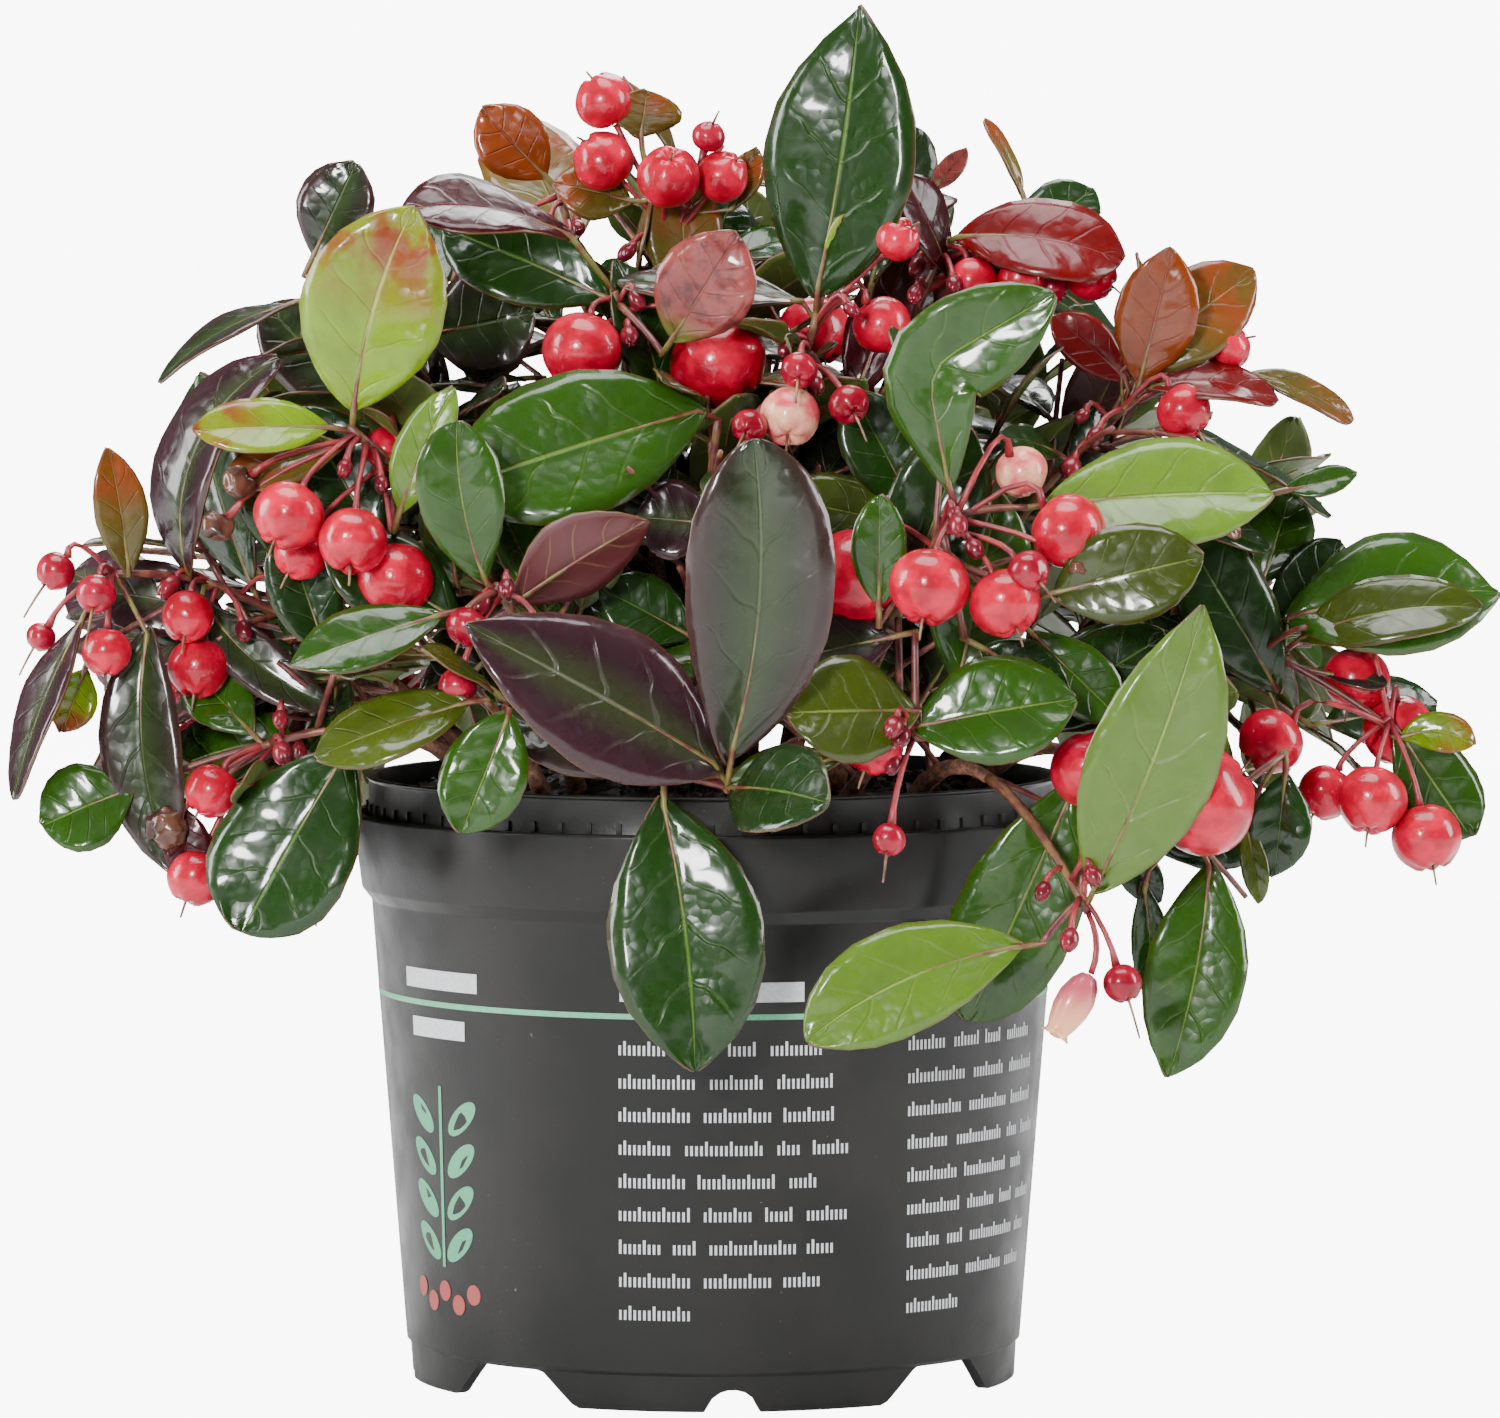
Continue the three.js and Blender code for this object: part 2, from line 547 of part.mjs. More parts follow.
function posedLeaf(base, [clock, front, length, width, turn, lift, curl, bend, right = 0, up = 0]) {
  const ways = { along: aim(clock, front), face: look(turn, lift), offset: [right, 0, up] };
  return leaf({ base, length, width, curl, bend, ...ways }, stationsFor(length));
}

// A leaf of the rule: one after another down the twig, turned by the golden angle, the lower ones spread wider
function ruleLeaf(curve, share, turn, random) {
  const at = 0.985 - (0.965 - STEM_SHARE) * share;
  const axis = curve.getTangent(at);
  const right = axis.clone().cross(vec(0.3, 1, 0.2)).normalize();
  const front = axis.clone().cross(right);
  const spread = rad(38 + 50 * share + 14 * random());
  const out = right.multiplyScalar(Math.cos(turn)).addScaledVector(front, Math.sin(turn));
  const along = axis.clone().multiplyScalar(Math.cos(spread)).addScaledVector(out, Math.sin(spread));
  const length = LEAF_L[0] + (LEAF_L[1] - LEAF_L[0]) * random();
  const width = length * (0.48 + 0.1 * random());
  const face = axis.clone().addScaledVector(UP, 0.7);
  const pose = { base: curve.getPoint(at), along, face, length, width, curl: 10 + 25 * random() };
  return leaf(pose, stationsFor(length));
}

const sprays = SHOOTS.map((shoot) => ({ ...shoot, curve: stemCurve(shoot), pieces: [] }));
const pot = makePot();
const soil = makeSoil();
place('pot', pot);
place('soil', soil);

// Stems first, then the twigs, the posed leaves, the berries and the leaves of the rule
for (const spray of sprays) {
  const { curve, name } = spray;
  const gap = GAP / curve.getLength();
  spray.stem = limb(curve, [0, STEM_SHARE], STEM_R, 5, 3);
  place(`stem_${name}`, spray.stem);
  const top = limb(curve, [STEM_SHARE + gap, 1], SPRAY_R, 4, 3);
  place(name, top);
  spray.pieces.push(top);
  spray.tip = curve.getPoint(1);
  for (const arm of spray.arms ?? []) {
    arm.tip = shift(spray.tip, arm.to);
    const start = armStart(spray, arm.to);
    const middle = start.clone().lerp(arm.tip, 0.5).addScaledVector(UP, 1);
    const route = new THREE.QuadraticBezierCurve3(start, middle, arm.tip);
    const twig = limb(route, [0.001, 1], TWIG_R, 3, 1);
    grow(spray, twig);
  }
}
for (const spray of sprays) {
  for (const [i, row] of (spray.leaves ?? []).entries()) {
    const { solid, core } = posedLeaf(spray.curve.getPoint(LEAVES_AT - LEAF_STEP * i), row);
    grow(spray, solid, core);
  }
  for (const arm of spray.arms ?? []) {
    for (const row of arm.leaves) {
      const { solid, core } = posedLeaf(arm.tip, row);
      grow(spray, solid, core);
    }
  }
}
// Each stalk leaves its twig a little lower than the last one, and at the end of a side twig a little higher.
function stalkAt(from, { curve, tip }, i) {
  return from === tip ? curve.getPoint(STALKS_AT - STALK_STEP * i) : from.clone().addScaledVector(UP, 0.3 * i);
}
for (const spray of sprays) {
  const hang = (from, rows) => rows.forEach(([right, front, up, size], i) => {
    if (size < LEAST_BERRY) return;
    grow(spray, berry(stalkAt(from, spray, i), shift(from, [right, front, up]), size));
  });
  hang(spray.tip, spray.fruit ?? []);
  (spray.arms ?? []).forEach((arm) => hang(arm.tip, arm.fruit ?? []));
}
sprays.forEach((spray, index) => {
  const random = seeded(7919 * (index + 1));
  const start = 2 * Math.PI * random();
  for (let k = 0; k < spray.fill; k++) {
    const { solid, core } = ruleLeaf(spray.curve, k / spray.fill, start + k * rad(GOLDEN), random);
    grow(spray, solid, core);
  }
  for (let k = 0; k < (spray.berries ?? 0); k++) {
    const turn = 2 * Math.PI * random();
    const out = 5 + 5 * random();
    const size = 8 + 5 * random();
    const middle = shift(spray.tip, [out * Math.cos(turn), out * Math.sin(turn), -7 - 6 * random()]);
    grow(spray, berry(spray.tip, middle, size));
  }
});

// Joins a spray into one solid. Loose scraps go, and a hollow that the joining seals is filled.
function joined(pieces) {
  const parts = Manifold.union(pieces).simplify(FINEST).decompose();
  return parts.sort((a, b) => b.volume() - a.volume())[0];
}

const material = (color, roughness) => new THREE.MeshStandardMaterial({ color, roughness, metalness: 0 });
const potPlastic = material(COLOURS.pot, 0.45);
const soilCrumbs = material(COLOURS.soil, 0.95);
const bark = material(COLOURS.stem, 0.7);
const tints = {
  green: material(COLOURS.leaf, 0.35),
  dark: material(COLOURS.dark_leaf, 0.3),
  red: material(COLOURS.red_leaf, 0.35),
};
const TINT_OF = {
  maroon: 'dark', dusk: 'dark', leftarm: 'dark', darkpair: 'dark',
  bronze: 'red', scarlet: 'red', russet: 'red',
};

const root = new THREE.Group();
const add = (name, solid, finish) => {
  const mesh = new THREE.Mesh(geometryOf(solid), finish);
  mesh.name = name;
  root.add(mesh);
};
add('pot', pot, potPlastic);
add('soil', soil, soilCrumbs);
for (const spray of sprays) {
  add(`stem_${spray.name}`, spray.stem, bark);
  add(`leaves_${spray.name}`, joined(spray.pieces), tints[TINT_OF[spray.name] ?? 'green']);
}

export default root;
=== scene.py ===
# %% [markdown]
# # A wintergreen in its nursery pot
# This small evergreen shrub has glossy oval leaves that turn plum and red in the cold, and red berries that
# hang under them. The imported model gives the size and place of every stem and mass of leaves. This script
# grows the visible plant round it: each leaf, berry and stalk is a copy of one small template, bent into its
# own place.

# %% Load the frame
import math
import random

import bmesh
import bpy
import numpy as np
from mathutils import Matrix, Vector, noise
from mathutils.bvhtree import BVHTree


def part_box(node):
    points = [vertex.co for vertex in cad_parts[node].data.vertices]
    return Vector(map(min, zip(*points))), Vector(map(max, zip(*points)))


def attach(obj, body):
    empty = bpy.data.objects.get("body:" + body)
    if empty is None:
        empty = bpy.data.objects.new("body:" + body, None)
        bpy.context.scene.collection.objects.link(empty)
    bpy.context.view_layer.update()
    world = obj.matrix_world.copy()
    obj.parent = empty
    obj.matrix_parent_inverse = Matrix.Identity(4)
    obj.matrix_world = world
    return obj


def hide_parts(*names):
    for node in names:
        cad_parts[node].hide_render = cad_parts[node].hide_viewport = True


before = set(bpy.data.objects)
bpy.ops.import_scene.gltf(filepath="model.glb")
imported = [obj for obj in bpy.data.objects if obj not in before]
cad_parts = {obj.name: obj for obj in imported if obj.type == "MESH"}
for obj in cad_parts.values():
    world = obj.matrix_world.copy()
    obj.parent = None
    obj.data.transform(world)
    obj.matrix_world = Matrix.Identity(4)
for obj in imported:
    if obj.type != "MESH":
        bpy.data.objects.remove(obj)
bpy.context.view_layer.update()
noise.seed_set(29)  # without a seed, Blender's noise vectors start from the clock
MM = 0.001
print("nodes in the frame:", len(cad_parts))

# %% [markdown]
# ## The camera
# The photograph looks at the pot from the front with a long lens, a little above the rim. The lens is worked
# out from the width that the picture takes in at the pot's axis, so the plant fills the frame as it does
# there.

# %% Camera
CAMERA_AT = Vector((6.1, -1500, 202)) * MM
LOOKS_AT = Vector((6.1, 0, 110.7)) * MM
FRAME_WIDTH = 249.3 * MM
SENSOR = 36

camera_data = bpy.data.cameras.new("camera")
camera_data.sensor_width = SENSOR
camera_data.lens = SENSOR * (LOOKS_AT - CAMERA_AT).length / FRAME_WIDTH
camera_data.clip_start = 0.05
camera = bpy.data.objects.new("camera", camera_data)
camera.location = CAMERA_AT
camera.rotation_euler = (LOOKS_AT - CAMERA_AT).to_track_quat("-Z", "Y").to_euler()
bpy.context.collection.objects.link(camera)
bpy.context.scene.camera = camera
print("lens in mm:", round(camera_data.lens, 1))

# %% [markdown]
# ## Helpers for finishes
# A colour is written as a painter picks it on a screen, in sRGB. The shader works in linear light, so a
# function turns the first into the second. Another one adds a node with its settings and links in one call.

# %% Colours, nodes and materials
def linear(hex_colour, share=1.0):
    """Turn an sRGB hex colour into linear light, made darker or lighter by a share."""
    parts = [int(hex_colour[i:i + 2], 16) / 255 for i in (1, 3, 5)]
    light = [c / 12.92 if c <= 0.04045 else ((c + 0.055) / 1.055) ** 2.4 for c in parts]
    return (*(min(1.0, c * share) for c in light), 1.0)


def add_node(tree, kind, settings=None, inputs=None):
    """Add a node, set its properties, and fill or link its inputs."""
    node = tree.nodes.new(kind)
    for key, value in (settings or {}).items():
        setattr(node, key, value)
    for socket, value in (inputs or {}).items():
        if isinstance(value, bpy.types.NodeSocket):
            tree.links.new(value, node.inputs[socket])
        else:
            node.inputs[socket].default_value = value
    return node


def new_material(name, sockets):
    """Start a material whose shader has these numbers, and give its tree and shader too."""
    made = bpy.data.materials.new(name)
    made.use_nodes = True
    tree = made.node_tree
    shader = tree.nodes["Principled BSDF"]
    for socket, value in sockets.items():
        shader.inputs[socket].default_value = value
    return made, tree, shader


def mix(tree, share, first, second, blend="MIX"):
    """Mix two colours, or a colour and a socket, by a share."""
    node = add_node(tree, "ShaderNodeMix", {"data_type": "RGBA", "blend_type": blend},
                    {"Factor": share, "A": first, "B": second})
    return node.outputs["Result"]


def spread(tree, value, low, high, new_low=0.0, new_high=1.0):
    """Stretch a range of numbers to another one, smoothly at both ends."""
    node = add_node(tree, "ShaderNodeMapRange", {"interpolation_type": "SMOOTHSTEP"}, {
        "Value": value, "From Min": low, "From Max": high, "To Min": new_low, "To Max": new_high,
    })
    return node.outputs["Result"]


def maths(tree, operation, first, second=0.0):
    """One sum on numbers or sockets."""
    return add_node(tree, "ShaderNodeMath", {"operation": operation}, {0: first, 1: second}).outputs["Value"]


def grain(tree, size_mm, detail=2.0, roughness=0.5):
    """Noise on the object's own coordinates, with lumps of a real size."""
    place = add_node(tree, "ShaderNodeTexCoord")
    lumps = add_node(tree, "ShaderNodeTexNoise", {}, {
        "Vector": place.outputs["Object"], "Scale": 1 / (size_mm * MM),
        "Detail": detail, "Roughness": roughness,
    })
    return lumps.outputs["Fac"]


def relief(tree, shader, height, depth_mm, strength=1.0):
    """Let a height pattern bend the light on the surface."""
    bump = add_node(tree, "ShaderNodeBump", {}, {
        "Height": height, "Distance": depth_mm * MM, "Strength": strength,
    })
    tree.links.new(bump.outputs["Normal"], shader.inputs["Normal"])


# %% [markdown]
# ## Helpers for pieces
# A finished piece sits at the origin with its place in its mesh, rides on the one body of the plant, and may
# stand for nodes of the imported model, which are then hidden.

# %% Pieces
def new_piece(name, mesh, materials, slot, *nodes):
    """Make an object of a mesh, put it on the plant's one body, and hide the nodes it stands for."""
    for material in materials:
        mesh.materials.append(material)
    piece = bpy.data.objects.new(name, mesh)
    bpy.context.collection.objects.link(piece)
    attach(piece, "root")
    if nodes:
        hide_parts(*nodes)
    print(f"{name}: {len(mesh.vertices)} points, {len(mesh.polygons)} faces")
    return piece


def mesh_of(name, bm, smooth=True):
    """Turn a finished bmesh into a mesh."""
    mesh = bpy.data.meshes.new(name)
    bm.to_mesh(mesh)
    bm.free()
    mesh.polygons.foreach_set("use_smooth", [smooth] * len(mesh.polygons))
    return mesh


def joined_copies(name, template, places, own=None):
    """One mesh of many bent copies of a template.

    places has an array of points, in mm, for each copy, and own a number for each that its material reads.
    """
    count = len(template.vertices)
    faces = [tuple(face.vertices) for face in template.polygons]
    mesh = bpy.data.meshes.new(name)
    all_faces = [tuple(corner + i * count for corner in face) for i in range(len(places)) for face in faces]
    mesh.from_pydata(np.concatenate(places) * MM, [], all_faces)
    if template.uv_layers:
        uv = np.zeros(len(template.loops) * 2)
        template.uv_layers[0].data.foreach_get("uv", uv)
        mesh.uv_layers.new(name="UVMap").data.foreach_set("uv", np.tile(uv, len(places)))
    if own is not None:
        mesh.attributes.new("own", "FLOAT", "POINT").data.foreach_set("value", np.repeat(own, count))
    mesh.polygons.foreach_set("use_smooth", [True] * len(mesh.polygons))
    return mesh


def points_of(mesh):
    """A mesh's points as an array."""
    flat = np.zeros(len(mesh.vertices) * 3)
    mesh.vertices.foreach_get("co", flat)
    return flat.reshape(-1, 3)


# %% [markdown]
# ## The pot's sizes
# The pot is a standard 12 cm nursery pot of black plastic, moulded in one piece: a tapering wall, a skirt
# that steps out, a collar that the next pot in a stack rests on, and four feet. These are the sizes of the
# packed pot.

# %% Sizes of the pot
POT_TOP_R = 60
POT_H = 100
FOOT_R = 50.2
FOOT_H = 6
WALL = 1.2
SHOULDER_Z = 79.5
SKIRT_TOP_Z = 94
COLLAR_R = 57.4
FLOOR_Z = 7
DISH_R = 9
FEET = 4
FOOT_TURN = math.radians(3.8)
FOOT_HALF_GROUND = math.radians(30)
FOOT_HALF_TOP = math.radians(37.5)
ARCH_HALF_W = 4.2
ARCH_H = 3.6
POT_STEPS = 240

# %% [markdown]
# ## The pot
# A pot is round, so its half outline is spun about the axis. The feet hang from the same ring: the ring's
# lower edge is lifted where there is no foot, and lifted a little in an arch in the middle of each foot. That
# keeps the wall in one clean piece, with no cutting. Its sharp rings are then given the small radius that a
# mould leaves. The drain holes under the floor are out of sight from every side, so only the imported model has
# them.

# %% Pot
POT_OUTLINE = [
    (0.01, 0), (DISH_R, 0), (DISH_R + 2, FLOOR_Z), (FOOT_R - 1.7, FLOOR_Z), (FOOT_R - 1.9, 0), (FOOT_R, 0),
    (FOOT_R + 0.3, FOOT_H - 0.2), (FOOT_R + 0.9, FOOT_H + 0.4), (POT_TOP_R - 3.2, SHOULDER_Z),
    (POT_TOP_R - 1.6, SHOULDER_Z + 2), (POT_TOP_R, SKIRT_TOP_Z - 0.4), (POT_TOP_R - 0.5, SKIRT_TOP_Z),
    (POT_TOP_R - 1.5, SKIRT_TOP_Z), (POT_TOP_R - 1.7, SKIRT_TOP_Z - 1.6), (COLLAR_R, SKIRT_TOP_Z - 1.6),
    (COLLAR_R - 0.2, POT_H - 0.7), (COLLAR_R + 0.3, POT_H - 0.4), (COLLAR_R + 0.2, POT_H),
    (COLLAR_R - WALL, POT_H), (COLLAR_R - WALL, SKIRT_TOP_Z - 3), (POT_TOP_R - WALL - 1.4, SKIRT_TOP_Z - 3),
    (POT_TOP_R - 3.2 - WALL, SHOULDER_Z + 0.5), (FOOT_R + 0.8 - WALL, FLOOR_Z + WALL),
    (DISH_R + 1, FLOOR_Z + WALL), (DISH_R - 1, WALL), (0.01, WALL),
]


def foot_lift(angle, at_r):
    """How far the lower edge of the foot ring is above the ground at an angle from the front."""
    part = math.tau / FEET
    off = abs((angle - FOOT_TURN + part / 2) % part - part / 2)
    sideways = off * at_r
    if sideways < ARCH_HALF_W:
        return ARCH_H * math.sqrt(1 - (sideways / ARCH_HALF_W) ** 2)
    slope = (off - FOOT_HALF_GROUND) / (FOOT_HALF_TOP - FOOT_HALF_GROUND)
    return FOOT_H * min(1.0, max(0.0, slope))


def spun(outline, steps):
    """Spin a half outline about the pot's axis."""
    bm = bmesh.new()
    corners = [bm.verts.new((r * MM, 0, z * MM)) for r, z in outline]
    lines = [bm.edges.new(pair) for pair in zip(corners, corners[1:])]
    bmesh.ops.spin(bm, geom=corners + lines, axis=(0, 0, 1), cent=(0, 0, 0), angle=math.tau, steps=steps,
                   use_merge=True)
    bmesh.ops.remove_doubles(bm, verts=bm.verts, dist=0.02 * MM)
    bmesh.ops.recalc_face_normals(bm, faces=bm.faces)
    return bm


WIDENS = 0.004
RING_ANGLE = math.radians(25)
MOULD_RADIUS = 0.22
pot_bm = spun(POT_OUTLINE, POT_STEPS)
for point in pot_bm.verts:
    reach = point.co.xy.length
    if point.co.z < 0.1 * MM and reach > (FOOT_R - 5) * MM:
        bearing = math.atan2(point.co.x, -point.co.y)
        point.co.z = foot_lift(bearing, FOOT_R) * MM
        point.co.xy *= 1 + WIDENS * point.co.z / (FOOT_H * MM)
rings = [edge for edge in pot_bm.edges
         if len(edge.link_faces) == 2 and edge.calc_face_angle(0) > RING_ANGLE
         and edge.verts[0].co.xy.length > 40 * MM and edge.verts[0].co.z > 8 * MM]
bmesh.ops.bevel(pot_bm, geom=rings, offset=MOULD_RADIUS * MM, segments=2, affect="EDGES", profile=0.5,
                material=-1)
bmesh.ops.recalc_face_normals(pot_bm, faces=pot_bm.faces)

# %% [markdown]
# Under the collar runs a narrow step with small upright ribs, which keep stacked pots from jamming. Each rib
# is one little block, turned to its place round the ring.

# %% Ribs under the collar
RIBS = 72
RIB = Vector((0.5, 0.8, 2.4))
for index in range(RIBS):
    turn = Matrix.Rotation(math.tau * index / RIBS, 4, "Z")
    place = Matrix.Translation(Vector((COLLAR_R + 0.1, 0, SKIRT_TOP_Z + 0.4)) * MM)
    bmesh.ops.create_cube(pot_bm, size=1, matrix=turn @ place @ Matrix.Diagonal((*(RIB * MM), 1)))
pot_mesh = mesh_of("pot shell", pot_bm)
pot_mesh.set_sharp_from_angle(angle=math.radians(35))

# %% [markdown]
# The plastic is polypropylene with carbon black, injection-moulded against a lightly textured tool. That
# leaves a fine orange peel with a soft sheen, drawn a little coarser than it is, so that it shows. Handling
# has left patches with specks of dust, which are paler and duller than the plastic.

# %% Black moulded plastic
PEEL_MM, SPECK_MM, PATCH_MM = 0.7, 0.9, 22
pot_plastic, tree, shader = new_material("moulded polypropylene", {
    "Base Color": linear("#131312"), "Roughness": 0.36, "IOR": 1.49, "Specular IOR Level": 0.25,
})
relief(tree, shader, grain(tree, PEEL_MM, 3), 0.05, 0.5)
dust = spread(tree, grain(tree, SPECK_MM, 5, 0.75), 0.66, 0.74)
patches = spread(tree, grain(tree, PATCH_MM, 3), 0.42, 0.68)
dusty = maths(tree, "MULTIPLY", dust, patches)
worn = mix(tree, maths(tree, "MULTIPLY", patches, 0.35), linear("#10100f"), linear("#1f1d1b"))
dusted = mix(tree, maths(tree, "MULTIPLY", dusty, 0.5), worn, linear("#8c857c"))
tree.links.new(dusted, shader.inputs["Base Color"])
tree.links.new(spread(tree, grain(tree, 9, 4), 0.3, 0.75, 0.3, 0.46), shader.inputs["Roughness"])
new_piece("pot_shell", pot_mesh, [pot_plastic], "pot_plastic", "pot")

# %% [markdown]
# ## The print on the pot
# The front of the pot is printed with a thin green line, rows of short pale strokes, a few bars and a little
# sprig of ovals and dots. Each mark is a thin flat shape wrapped on the wall, because screen ink stands a
# hair above the plastic. The ink is flat and dull, and a little thin in places where the plastic shows
# through.

# %% Wrapping flat shapes on the wall
INK_MM = 0.06
INK_THICK_MM = 0.04
OVAL_SIDES = 20


def wall_radius(z):
    """The radius of the pot's wall at a height."""
    low, high = (FOOT_R + 0.9, FOOT_H + 0.4), (POT_TOP_R - 3.2, SHOULDER_Z)
    return low[0] + (high[0] - low[0]) * (z - low[1]) / (high[1] - low[1])


def wrap(verts, along, z):
    """Move flat points, in mm about (0, 0), onto the wall, so far along it from the front and so high."""
    for vert in verts:
        height = z + vert.co.y
        r = wall_radius(height) + INK_MM + vert.co.z
        bearing = (along + vert.co.x) / wall_radius(height)
        vert.co = Vector((r * math.sin(bearing), -r * math.cos(bearing), height)) * MM


def add_bar(bm, along, z, width, height):
    """A plain bar of ink, cut into short lengths so that it follows the wall."""
    made = bmesh.ops.create_grid(bm, x_segments=max(1, round(width / 1.5)), y_segments=1, size=0.5,
                                 matrix=Matrix.Diagonal((width, height, 1, 1)))
    wrap(made["verts"], along, z)


def add_oval(bm, along, z, length, width, turn):
    """A plain oval of ink."""
    shape = Matrix.Rotation(math.radians(turn), 4, "Z") @ Matrix.Diagonal((length / 2, width / 2, 1, 1))
    made = bmesh.ops.create_circle(bm, cap_ends=True, segments=OVAL_SIDES, radius=1, matrix=shape)
    wrap(made["verts"], along, z)


def inked(name, bm, colour):
    """Thicken the ink shapes and finish them as one printed piece."""
    bmesh.ops.recalc_face_normals(bm, faces=bm.faces)
    bmesh.ops.solidify(bm, geom=bm.faces[:], thickness=INK_THICK_MM * MM)
    bmesh.ops.recalc_face_normals(bm, faces=bm.faces)
    ink, tree, shader = new_material(f"screen ink {name}", {"Base Color": linear(colour), "Roughness": 0.5})
    covers = spread(tree, grain(tree, 0.5, 4), 0.35, 0.6, 0.82, 1.0)
    tree.links.new(mix(tree, covers, linear("#3a3a3c"), linear(colour)), shader.inputs["Base Color"])
    new_piece(name, mesh_of(name, bm, smooth=False), [ink], "pot_print")


# %% Line, strokes and bars
STRIPE_Z = 64.5
line_bm = bmesh.new()
for piece_at in range(-84, 84, 2):
    add_bar(line_bm, piece_at, STRIPE_Z, 2.02, 0.9)
inked("print_line", line_bm, "#4f9c74")

GROUPS = [[8, 6, 5, 9], [13, 9, 10], [12, 11, 9], [9, 13, 4, 6], [11, 13, 5], [12, 8, 5, 7], [7, 4, 14, 5],
          [12, 11, 6], [12]]
BLOCKS_LEFT = (-15, 34)
FIRST_ROW, ROW_MM, GROUP_GAP = 5.5, 5.4, 1.9
STROKE_STEP, STROKE_MM, SHORT_MM, TALL_MM = 0.8, 0.42, 1.6, 2.3
strokes_bm = bmesh.new()
for left in BLOCKS_LEFT:
    for row, lengths in enumerate(GROUPS):
        edge = left
        for length in lengths:
            for stroke in range(round(length / STROKE_STEP)):
                tall = TALL_MM if (stroke * 7 + row * 3 + length) % 5 < 1 else SHORT_MM
                z = STRIPE_Z - FIRST_ROW - ROW_MM * row + (tall - SHORT_MM) / 2
                add_bar(strokes_bm, edge + STROKE_STEP * stroke, z, STROKE_MM, tall)
            edge += length + GROUP_GAP
BARS = [(-15, 4, 18), (6, 4, 9), (-62, 4, 20), (-60, -4, 15)]
BAR_MM = 3.2
for left, above_line, length in BARS:
    add_bar(strokes_bm, left + length / 2, STRIPE_Z + above_line, length, BAR_MM)
inked("print_bars", strokes_bm, "#b4b6b9")

# %% The sprig and its dots
SPRIG_AT = (-52, 34)
sprig_bm = bmesh.new()
for side in (-1, 1):
    for step in range(4):
        along = SPRIG_AT[0] + side * (4.5 + 0.4 * step)
        add_oval(sprig_bm, along, SPRIG_AT[1] - 9 + 7 * step, 8.5, 3.8, side * 38)
add_bar(sprig_bm, SPRIG_AT[0], SPRIG_AT[1] + 2, 0.8, 30)
inked("print_sprig", sprig_bm, "#3f8c66")
dots_bm = bmesh.new()
for step in range(5):
    add_oval(dots_bm, SPRIG_AT[0] - 8 + 4 * step, SPRIG_AT[1] - 17 - 2 * (step % 2), 3.4, 3.4, 0)
inked("print_dots", dots_bm, "#8c2f2a")

# %% [markdown]
# ## The soil
# The pot is filled with moist peat, which mounds a little in the middle. Its top is a disc lifted by noise,
# with loose crumbs of several sizes thrown over it. Peat is nearly black and dull, with damp crumbs that
# shine.

# %% Sizes of the soil
SOIL_MID_Z = 101.5
SOIL_EDGE_Z = 97
SOIL_R = 55.7
PEAT_DOWN = 0.8


def soil_height(r):
    """The height of the soil at a distance from the pot's axis."""
    return SOIL_MID_Z - (SOIL_MID_Z - SOIL_EDGE_Z) * min(1, r / SOIL_R) ** 2


# %% Soil
SOIL_OUTLINE = [(0.01, 12), (48, 12), (SOIL_R - 2, SHOULDER_Z - 2), (SOIL_R - 0.3, SOIL_EDGE_Z - 3)]
SOIL_OUTLINE += [(SOIL_R - 0.2 - 1.9 * step, None) for step in range(29)] + [(0.01, None)]
SOIL_OUTLINE = [(r, soil_height(r) - PEAT_DOWN if z is None else z) for r, z in SOIL_OUTLINE]
soil_bm = spun(SOIL_OUTLINE, 120)
for point in soil_bm.verts:
    if point.co.z > (SOIL_EDGE_Z - 2) * MM:
        point.co.z += 0.9 * MM * noise.fractal(point.co / (4 * MM), 0.7, 2.1, 4)

# %% Crumbs and the finish of peat
CRUMBS = 900
crumb_dice = random.Random(11)
for _ in range(CRUMBS):
    r = (SOIL_R - 1.8) * math.sqrt(crumb_dice.random())
    bearing = math.tau * crumb_dice.random()
    size = 0.35 + 1.5 * crumb_dice.random() ** 3
    z = soil_height(r) - PEAT_DOWN + 0.3 * size
    spot = Vector((r * math.cos(bearing), r * math.sin(bearing), z)) * MM
    squash = Matrix.Diagonal((size * MM, size * MM * (0.6 + 0.4 * crumb_dice.random()), size * MM * 0.7, 1))
    turn, tilt = math.tau * crumb_dice.random(), crumb_dice.random()
    spin = Matrix.Rotation(turn, 4, "Z") @ Matrix.Rotation(tilt, 4, "X")
    bmesh.ops.create_icosphere(soil_bm, subdivisions=1, radius=1,
                               matrix=Matrix.Translation(spot) @ spin @ squash)
peat, tree, shader = new_material("moist peat", {"Roughness": 0.8, "Base Color": linear("#17100c")})
peat_tone = mix(tree, spread(tree, grain(tree, 2.2, 5, 0.7), 0.35, 0.7), linear("#0f0a08"), linear("#35251b"))
tree.links.new(peat_tone, shader.inputs["Base Color"])
tree.links.new(spread(tree, grain(tree, 4, 3), 0.4, 0.65, 0.35, 0.95), shader.inputs["Roughness"])
relief(tree, shader, grain(tree, 0.6, 4, 0.7), 0.3, 0.8)
new_piece("peat_soil", mesh_of("peat", soil_bm, smooth=False), [peat], "peat", "soil")

# %% [markdown]
# ## How the plant is described
# Each shoot has a stem from the soil to a node where its leaves gather. A leaf is (clock, front, length,
# width, turn, lift, curl, bend, right, up, tint): it points as a clock's hand does, leans to the front, and
# its upper face looks to the front, turned right and lifted to the sky. curl arches it, bend turns it
# sideways, and right and up move its blade from the twig's end on a longer stalk. A berry is (right, front,
# up, diameter) from the node. An arm is a side twig, fill is how many leaves the rule adds, and tints are
# those leaves' tints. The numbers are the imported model's, with a tint for each leaf. Four leaves were set again
# against the photograph after the model was packed: one each of crest, topfruit, leftlow and rightfruit.

